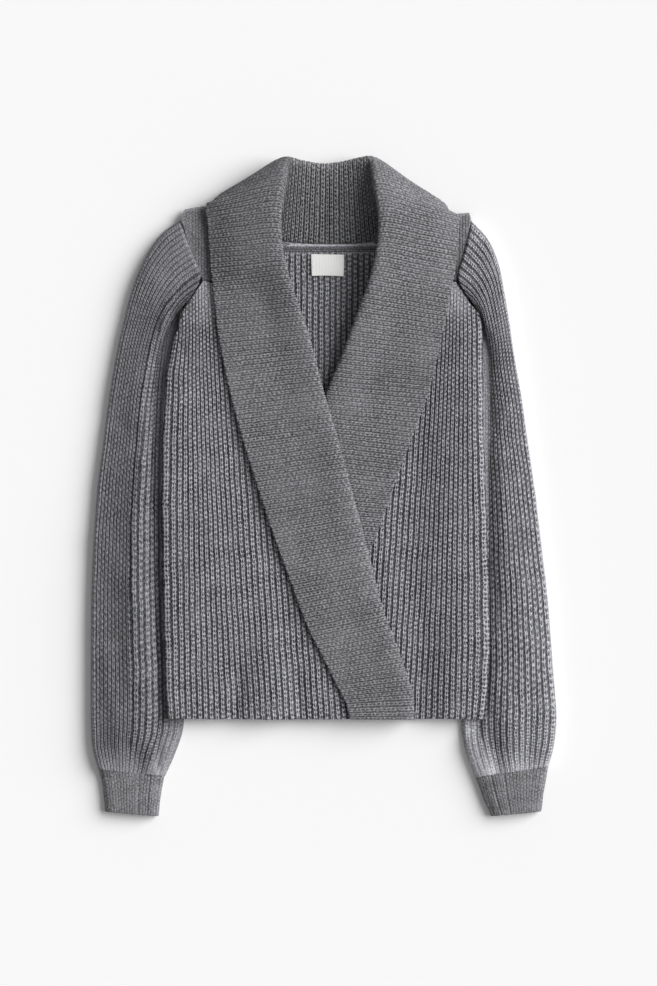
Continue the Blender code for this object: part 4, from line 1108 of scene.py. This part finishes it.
def knit_wool_group():
    """Rib stitches in heathered yarn, with painted shade in the grooves, in the holes and between the V
    legs, from the stitch attribute.
    """
    tree, start, end = new_tree(
        "knit_wool",
        (
            ("Yarn", "INPUT", "NodeSocketColor", (0.2, 0.2, 0.2, 1.0)),
            ("Groove Shade", "INPUT", "NodeSocketFloat", 0.05),
            ("Hole Depth", "INPUT", "NodeSocketFloat", 0.8),
            ("Heather", "INPUT", "NodeSocketFloat", 0.3),
            ("Fine", "INPUT", "NodeSocketFloat", 0.0),
            ("Color", "OUTPUT", "NodeSocketColor", None),
            ("Height", "OUTPUT", "NodeSocketFloat", None),
        ),
    )
    stitch = add_node(tree, "ShaderNodeAttribute", attribute_name="stitch", attribute_type="GEOMETRY")
    split = tree.nodes.new("ShaderNodeSeparateXYZ")
    tree.links.new(stitch.outputs["Vector"], split.inputs["Vector"])
    stray = add_node(tree, "ShaderNodeSeparateColor")
    tree.links.new(noise(tree, STRAY_SCALE, 2.0).outputs["Color"], stray.inputs["Color"])
    aside = calc(tree, "SUBTRACT", stray.outputs["Red"], 0.5)
    across = calc(tree, "MULTIPLY_ADD", aside, 0.5, split.outputs["X"])
    onward = calc(tree, "SUBTRACT", stray.outputs["Green"], 0.5)
    along = calc(tree, "MULTIPLY_ADD", onward, 0.9, split.outputs["Y"])
    strength = split.outputs["Z"]
    along = calc(tree, "MULTIPLY_ADD", calc(tree, "MODULO", calc(tree, "FLOOR", across), 2.0), 0.5, along)
    half = calc(tree, "SUBTRACT", calc(tree, "MULTIPLY", calc(tree, "FRACT", across), 2.0), 1.0)
    side = calc(tree, "ABSOLUTE", half)
    # Painted shade: the grooves darken, less where a stitch bridges them, and holes darken at each rib's
    # middle.
    bridge = wave(tree, along)
    thin = calc(tree, "MULTIPLY_ADD", start.outputs["Fine"], -0.22, side)
    bridged = calc(tree, "MULTIPLY_ADD", bridge, -0.3, 1.0)
    groove = calc(tree, "MULTIPLY", ease(tree, thin, 0.3, 0.68), bridged)
    hole = ease(tree, wave(tree, calc(tree, "ADD", along, 0.5)), 0.15, 0.7)
    middle = calc(tree, "SUBTRACT", 1.0, ease(tree, side, 0.08, 0.42))
    middle = calc(tree, "MULTIPLY", middle, calc(tree, "MULTIPLY_ADD", hole, 0.6, 0.4))
    middle = calc(tree, "MULTIPLY", middle, start.outputs["Hole Depth"])
    painted_knit_shade = calc(tree, "MULTIPLY", calc(tree, "MAXIMUM", groove, middle), strength)
    # Painted shade between the V legs of each stitch.
    legs = wave(tree, calc(tree, "MULTIPLY_ADD", side, -0.4, along))
    between = calc(tree, "MULTIPLY", calc(tree, "SUBTRACT", legs, 1.0), 0.3)
    light = calc(tree, "MULTIPLY_ADD", between, strength, 1.0)
    reach = calc(tree, "SUBTRACT", 1.0, start.outputs["Groove Shade"])
    shade = calc(tree, "MULTIPLY", calc(tree, "SUBTRACT", 1.0, calc(tree, "MULTIPLY", painted_knit_shade, reach)), light)
    fibre = centred_noise(tree, FIBRE_SCALE, 4.0, 5.0)
    speck = centred_noise(tree, SPECK_SCALE, 2.0, 3.0)
    drift = centred_noise(tree, DRIFT_SCALE, 2.0, 0.5)
    marl = calc(tree, "ADD", calc(tree, "ADD", fibre, speck), drift)
    marl = calc(tree, "MULTIPLY_ADD", marl, start.outputs["Heather"], 1.0)
    marl = calc(tree, "MAXIMUM", marl, 0.25)
    tint = add_node(tree, "ShaderNodeVectorMath", operation="SCALE")
    tree.links.new(start.outputs["Yarn"], tint.inputs[0])
    tree.links.new(calc(tree, "MULTIPLY", marl, shade), tint.inputs["Scale"])
    tree.links.new(tint.outputs["Vector"], end.inputs["Color"])
    fuzz = calc(tree, "MULTIPLY", noise(tree, FUZZ_SCALE, 5.0).outputs["Fac"], 0.5)
    tree.links.new(calc(tree, "ADD", calc(tree, "SUBTRACT", 1.0, painted_knit_shade), fuzz), end.inputs["Height"])
    return tree


def wool_material(name, yarn, groove, holes, heather, fine, relief):
    material = bpy.data.materials.new(name)
    material.use_nodes = True
    tree = material.node_tree
    shader = tree.nodes["Principled BSDF"]
    shader.inputs["Roughness"].default_value = 0.95
    shader.inputs["Specular IOR Level"].default_value = 0.08
    shader.inputs["Sheen Weight"].default_value = 0.02
    shader.inputs["Sheen Roughness"].default_value = 0.6
    knit = add_node(tree, "ShaderNodeGroup", node_tree=bpy.data.node_groups["knit_wool"])
    knit.inputs["Yarn"].default_value = (*yarn, 1.0)
    knit.inputs["Groove Shade"].default_value = groove
    knit.inputs["Hole Depth"].default_value = holes
    knit.inputs["Heather"].default_value = heather
    knit.inputs["Fine"].default_value = fine
    tree.links.new(knit.outputs["Color"], shader.inputs["Base Color"])
    bump = add_node(tree, "ShaderNodeBump", (("Strength", 1.0), ("Distance", relief)))
    tree.links.new(knit.outputs["Height"], bump.inputs["Height"])
    tree.links.new(bump.outputs["Normal"], shader.inputs["Normal"])
    material.diffuse_color = (*yarn, 1.0)
    return material


def satin_material(name, colour):
    """Woven label satin: fine warp lines on a soft white."""
    material = bpy.data.materials.new(name)
    material.use_nodes = True
    tree = material.node_tree
    shader = tree.nodes["Principled BSDF"]
    shader.inputs["Roughness"].default_value = 0.55
    place = add_node(tree, "ShaderNodeTexCoord")
    weave = add_node(
        tree,
        "ShaderNodeTexWave",
        (("Scale", SATIN_WAVE_SCALE), ("Distortion", 1.5), ("Detail", 2.0)),
        bands_direction="X",
    )
    tree.links.new(place.outputs["Object"], weave.inputs["Vector"])
    tone = add_node(tree, "ShaderNodeMix", data_type="RGBA")
    tone.inputs[6].default_value = (*(0.95 * part for part in colour), 1.0)
    tone.inputs[7].default_value = (*colour, 1.0)
    tree.links.new(weave.outputs["Fac"], tone.inputs["Factor"])
    tree.links.new(tone.outputs[2], shader.inputs["Base Color"])
    bump = add_node(tree, "ShaderNodeBump", (("Strength", 0.12), ("Distance", 0.0003)))
    tree.links.new(weave.outputs["Fac"], bump.inputs["Height"])
    tree.links.new(bump.outputs["Normal"], shader.inputs["Normal"])
    return material


def stitch_tree():
    """Geometry nodes: small rounded thread stitches along a curve."""
    tree, start, end = new_tree(
        "stitch_line",
        (
            ("Geometry", "INPUT", "NodeSocketGeometry", None),
            ("Spacing", "INPUT", "NodeSocketFloat", 0.004),
            ("Stitch Size", "INPUT", "NodeSocketVector", (0.0018, 0.0006, 0.0006)),
            ("Turn", "INPUT", "NodeSocketFloat", 0.0),
            ("Thread", "INPUT", "NodeSocketMaterial", None),
            ("Geometry", "OUTPUT", "NodeSocketGeometry", None),
        ),
        "GeometryNodeTree",
    )
    link = tree.links.new
    spaced = add_node(tree, "GeometryNodeResampleCurve", mode="LENGTH")
    link(start.outputs["Geometry"], spaced.inputs["Curve"])
    link(start.outputs["Spacing"], spaced.inputs["Length"])
    stitch = add_node(tree, "GeometryNodeMeshUVSphere", (("Segments", 8), ("Rings", 6), ("Radius", 1.0)))
    tangent = add_node(tree, "GeometryNodeInputTangent")
    aligned = add_node(tree, "FunctionNodeAlignRotationToVector", axis="X")
    link(tangent.outputs["Tangent"], aligned.inputs["Vector"])
    spin = add_node(tree, "FunctionNodeAxisAngleToRotation", (("Axis", (0.0, 0.0, 1.0)),))
    link(start.outputs["Turn"], spin.inputs["Angle"])
    turned = add_node(tree, "FunctionNodeRotateRotation", rotation_space="LOCAL")
    link(aligned.outputs["Rotation"], turned.inputs["Rotation"])
    link(spin.outputs["Rotation"], turned.inputs["Rotate By"])
    placed = add_node(tree, "GeometryNodeInstanceOnPoints")
    link(spaced.outputs["Curve"], placed.inputs["Points"])
    link(stitch.outputs["Mesh"], placed.inputs["Instance"])
    link(turned.outputs["Rotation"], placed.inputs["Rotation"])
    link(start.outputs["Stitch Size"], placed.inputs["Scale"])
    real = add_node(tree, "GeometryNodeRealizeInstances")
    link(placed.outputs["Instances"], real.inputs["Geometry"])
    smooth_faces = add_node(tree, "GeometryNodeSetShadeSmooth")
    link(real.outputs["Geometry"], smooth_faces.inputs["Geometry"])
    finish = add_node(tree, "GeometryNodeSetMaterial")
    link(smooth_faces.outputs["Geometry"], finish.inputs["Geometry"])
    link(start.outputs["Thread"], finish.inputs["Material"])
    link(finish.outputs["Geometry"], end.inputs["Geometry"])
    return tree


def stitch_lines(name, lines, spacing, size, turn, thread):
    """Stitches along lines of points in millimetres, as one plain mesh piece."""
    curve = bpy.data.curves.new(name + "_path", "CURVE")
    curve.dimensions = "3D"
    for line in lines:
        spline = curve.splines.new("POLY")
        spline.points.add(len(line) - 1)
        spline.points.foreach_set("co", np.column_stack([line * MM, np.ones(len(line))]).ravel())
    path = bpy.data.objects.new(name + "_path", curve)
    bpy.context.scene.collection.objects.link(path)
    modifier = path.modifiers.new("stitches", "NODES")
    tree = bpy.data.node_groups["stitch_line"]
    modifier.node_group = tree
    names = {item.name: item.identifier for item in tree.interface.items_tree if item.in_out == "INPUT"}
    modifier[names["Spacing"]] = spacing * MM
    modifier[names["Stitch Size"]] = [part * MM for part in size]
    modifier[names["Turn"]] = turn
    modifier[names["Thread"]] = thread
    bpy.context.view_layer.update()
    graph = bpy.context.evaluated_depsgraph_get()
    mesh = bpy.data.meshes.new_from_object(path.evaluated_get(graph), depsgraph=graph)
    bpy.data.objects.remove(path)
    if not mesh.polygons:
        raise RuntimeError(name + " has no stitches")
    piece = bpy.data.objects.new(name, mesh)
    bpy.context.scene.collection.objects.link(piece)
    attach(piece, "root")
    return piece


class SweaterKnit(bpy.types.PropertyGroup):
    """Relief of the knitting."""

    rib_depth: FloatProperty(
        name="Rib Depth", description="Height of a rib above its groove", default=0.0026, unit="LENGTH"
    )
    collar_rib_depth: FloatProperty(
        name="Collar Rib Depth", description="Height of a collar rib", default=0.0011, unit="LENGTH"
    )
    cuff_rib_depth: FloatProperty(
        name="Fine Knit Depth", description="Height of the fine knit's columns",
        default=0.0005, unit="LENGTH"
    )


class SweaterYarn(bpy.types.PropertyGroup):
    """Colours of the yarn, label and table."""

    body: FloatVectorProperty(
        name="Body Yarn", description="Heather grey of the ribs", default=(0.56, 0.56, 0.6), subtype="COLOR"
    )
    collar: FloatVectorProperty(
        name="Collar Yarn", description="Heather grey of the collar",
        default=(0.285, 0.285, 0.3), subtype="COLOR"
    )
    cuff: FloatVectorProperty(
        name="Cuff Yarn", description="Heather grey of the fine knit",
        default=(0.27, 0.27, 0.284), subtype="COLOR"
    )
    label: FloatVectorProperty(
        name="Label", description="White of the woven label", default=(0.95, 0.95, 0.925), subtype="COLOR"
    )
    table: FloatVectorProperty(
        name="Table", description="Pale surface under the sweater",
        default=(0.93, 0.93, 0.93), subtype="COLOR"
    )


class SweaterStudio(bpy.types.PropertyGroup):
    """Light and camera of the photo table."""

    key_strength: FloatProperty(
        name="Window Light", description="Strength of the soft light from the right", default=4.14, min=0.0
    )
    fill_strength: FloatProperty(
        name="Fill Light", description="Strength of the even light all round", default=0.27, min=0.0
    )
    key_height: FloatProperty(
        name="Light Height", description="Angle of the light above the table", default=0.6, subtype="ANGLE"
    )
    camera_height: FloatProperty(
        name="Camera Height", description="Height of the camera above the table", default=6.0, unit="LENGTH"
    )


class SWEATER_OT_studio(bpy.types.Operator):
    """Lay out the pale table, the soft light from the right and the camera above"""

    bl_idname = "sweater.studio"
    bl_label = "Photo Table"

    def execute(self, context):
        scene = context.scene
        studio = scene.sweater_studio
        half = TABLE_WIDTH / 2
        corners = [(-half, -half, 0.0), (half, -half, 0.0), (half, half, 0.0), (-half, half, 0.0)]
        mesh = bpy.data.meshes.new("floor")
        mesh.from_pydata(corners, [], [(0, 1, 2, 3)])
        floor = bpy.data.objects.new("floor", mesh)
        scene.collection.objects.link(floor)
        paper = bpy.data.materials.new("table_paper")
        paper.use_nodes = True
        shader = paper.node_tree.nodes["Principled BSDF"]
        shader.inputs["Base Color"].default_value = (*scene.sweater_yarn.table, 1.0)
        shader.inputs["Roughness"].default_value = 0.9
        shader.inputs["Specular IOR Level"].default_value = 0.1
        mesh.materials.append(paper)
        lamp = bpy.data.lights.new("window_light", "SUN")
        lamp.energy = studio.key_strength
        lamp.angle = KEY_SPREAD
        window = bpy.data.objects.new("window_light", lamp)
        window.rotation_euler = (0.0, np.pi / 2 - studio.key_height, KEY_TURN)
        scene.collection.objects.link(window)
        world = bpy.data.worlds.new("studio_air")
        world.use_nodes = True
        air = world.node_tree.nodes["Background"]
        air.inputs["Color"].default_value = (1.0, 1.0, 1.0, 1.0)
        air.inputs["Strength"].default_value = studio.fill_strength
        scene.world = world
        scene.view_settings.view_transform = "Standard"
        camera_data = bpy.data.cameras.new("overhead_camera")
        camera_data.sensor_width = SENSOR_WIDTH
        camera_data.lens = SENSOR_WIDTH * MM * studio.camera_height / FRAME_HEIGHT / MM
        camera_data.clip_end = 100.0
        camera = bpy.data.objects.new("overhead_camera", camera_data)
        camera.location = (*CAMERA_OVER, studio.camera_height)
        scene.collection.objects.link(camera)
        scene.camera = camera
        return {"FINISHED"}


class SWEATER_OT_yarns(bpy.types.Operator):
    """Make the wool and label finishes"""

    bl_idname = "sweater.yarns"
    bl_label = "Yarns"

    def execute(self, context):
        yarn = context.scene.sweater_yarn
        knit_wool_group()
        stitch_tree()
        for name, colour, shade, *look in WOOLS:
            wool_material(name, [part * shade for part in getattr(yarn, colour)], *look)
        satin_material("label_satin_weave", yarn.label)
        return {"FINISHED"}


class SWEATER_OT_back(bpy.types.Operator):
    """Knit the back panel"""

    bl_idname = "sweater.back"
    bl_label = "Back"

    def execute(self, context):
        piece, area = make_back(context.scene.sweater_knit, bpy.data.materials["rib_wool"])
        declare_cloth(piece, "back", FLAT["back"], area)
        return {"FINISHED"}


class SWEATER_OT_fronts(bpy.types.Operator):
    """Knit the two fronts, the viewer's left one over the right one"""

    bl_idname = "sweater.fronts"
    bl_label = "Fronts"

    def execute(self, context):
        knit = context.scene.sweater_knit
        wool = bpy.data.materials["rib_wool"]
        for node, side, end, top, band, folds, under in (
            (
                "front_right", 2, RIGHT_FRONT_HEM_END, RIGHT_FRONT_TOP,
                RIGHT_BAND, RIGHT_FRONT_FOLDS, "back_rib_knit",
            ),
            (
                "front_left", 1, LEFT_FRONT_HEM_END, LEFT_FRONT_TOP,
                LEFT_BAND, LEFT_FRONT_FOLDS, "front_right_rib_knit",
            ),
        ):
            piece, area = make_front(node + "_rib_knit", side, end, top, band, folds, knit, wool)
            declare_cloth(piece, node, FLAT["front"], area)
        return {"FINISHED"}


class SWEATER_OT_collar(bpy.types.Operator):
    """Knit the two halves of the shawl collar"""

    bl_idname = "sweater.collar"
    bl_label = "Shawl Collar"

    def execute(self, context):
        knit = context.scene.sweater_knit
        wool = bpy.data.materials["collar_wool"]
        left_end = len(LEFT_NECK) + len(LEFT_BAND) - 1
        right_end = len(RIGHT_NECK) + RIGHT_COLLAR_RIB_ROWS
        for node, neck, band, side, end, under in (
            ("collar_right", RIGHT_NECK, RIGHT_BAND, 2, right_end, "front_right_rib_knit"),
            ("collar_left", LEFT_NECK, LEFT_BAND, 1, left_end, "front_left_rib_knit"),
        ):
            piece, area = make_collar(node + "_knit", neck, band, side, end, knit, wool)
            declare_cloth(piece, node, FLAT["collar"], area)
        return {"FINISHED"}


class SWEATER_OT_sleeves(bpy.types.Operator):
    """Knit the two sleeves as flattened tubes"""

    bl_idname = "sweater.sleeves"
    bl_label = "Sleeves"

    def execute(self, context):
        knit = context.scene.sweater_knit
        for side, table, ribs, spread, folds, wool_name in (
            # The left sleeve takes the darker wool copy: painted shade, as it lies away from the light.
            ("left", LEFT_SLEEVE, LEFT_SLEEVE_RIBS, LEFT_RIB_SPREAD, LEFT_SLEEVE_FOLDS, "close_rib_wool"),
            ("right", RIGHT_SLEEVE, RIGHT_SLEEVE_RIBS, RIGHT_RIB_SPREAD, RIGHT_SLEEVE_FOLDS, "rib_wool"),
        ):
            wool = bpy.data.materials[wool_name]
            name = "sleeve_" + side + "_rib_knit"
            piece, area = make_sleeve(name, table, ribs, spread, folds, knit, wool)
            declare_cloth(piece, "sleeve_" + side, FLAT["sleeve"], area)
        return {"FINISHED"}


class SWEATER_OT_cuffs(bpy.types.Operator):
    """Knit the two fine cuffs"""

    bl_idname = "sweater.cuffs"
    bl_label = "Cuffs"

    def execute(self, context):
        knit = context.scene.sweater_knit
        wool = bpy.data.materials["fine_wool"]
        for name, node, table in (
            ("cuff_left_knit", "cuff_left", LEFT_CUFF),
            ("cuff_right_knit", "cuff_right", RIGHT_CUFF),
        ):
            piece, area = make_cuff(name, table, knit, wool)
            declare_cloth(piece, node, FLAT["cuff"], area)
        return {"FINISHED"}


class SWEATER_OT_yokes(bpy.types.Operator):
    """Knit the two plain shoulder yokes"""

    bl_idname = "sweater.yokes"
    bl_label = "Yokes"

    def execute(self, context):
        knit = context.scene.sweater_knit
        wool = bpy.data.materials["fine_wool"]
        for name, node, table in (
            ("yoke_left_knit", "yoke_left", LEFT_YOKE),
            ("yoke_right_knit", "yoke_right", RIGHT_YOKE),
        ):
            piece, area = make_yoke(name, table, knit, wool)
            declare_cloth(piece, node, FLAT["yoke"], area)
        return {"FINISHED"}


class SWEATER_OT_neck_trim(bpy.types.Operator):
    """Add the neck seam tape, the blank label and their stitches"""

    bl_idname = "sweater.neck_trim"
    bl_label = "Neck Trim"

    def execute(self, context):
        # The tape takes the darker wool copy: painted shade inside the neck.
        wool = bpy.data.materials["close_rib_wool"]
        tape, area = make_tape(wool)
        declare_cloth(tape, "neck_tape", FLAT["tape"], area)
        satin = bpy.data.materials["label_satin_weave"]
        label, area = make_label(satin)
        stitches = stitch_lines(
            "label_stitches", label_stitch_lines(), 1.9, (0.75, 0.24, 0.2), 0.0, satin
        )
        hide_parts("neck_label")
        declare_cloth(
            label, "neck_label", FLAT["label"], area,
        )
        return {"FINISHED"}


class SWEATER_PT_pieces(bpy.types.Panel):
    """Buttons for each piece, in the order they are knitted"""

    bl_idname = "SWEATER_PT_pieces"
    bl_label = "Wrap Sweater"
    bl_space_type = "VIEW_3D"
    bl_region_type = "UI"
    bl_category = "Sweater"

    def draw(self, context):
        scene = context.scene
        for group in (scene.sweater_knit, scene.sweater_yarn, scene.sweater_studio):
            box = self.layout.box()
            for key in group.__annotations__:
                box.prop(group, key)
        for step in STEPS:
            self.layout.operator(step.bl_idname)


STEPS = (
    SWEATER_OT_studio,
    SWEATER_OT_yarns,
    SWEATER_OT_back,
    SWEATER_OT_fronts,
    SWEATER_OT_collar,
    SWEATER_OT_sleeves,
    SWEATER_OT_cuffs,
    SWEATER_OT_yokes,
    SWEATER_OT_neck_trim,
)
GROUPS = (
    ("sweater_knit", SweaterKnit),
    ("sweater_yarn", SweaterYarn),
    ("sweater_studio", SweaterStudio),
)


def register():
    for key, group in GROUPS:
        bpy.utils.register_class(group)
        setattr(bpy.types.Scene, key, PointerProperty(type=group))
    for step in STEPS:
        bpy.utils.register_class(step)
    bpy.utils.register_class(SWEATER_PT_pieces)


def unregister():
    bpy.utils.unregister_class(SWEATER_PT_pieces)
    for step in reversed(STEPS):
        bpy.utils.unregister_class(step)
    for key, group in reversed(GROUPS):
        delattr(bpy.types.Scene, key)
        bpy.utils.unregister_class(group)


def main():
    register()
    for step in STEPS:
        family, action = step.bl_idname.split(".")
        getattr(getattr(bpy.ops, family), action)()


if __name__ == "__main__":
    main()
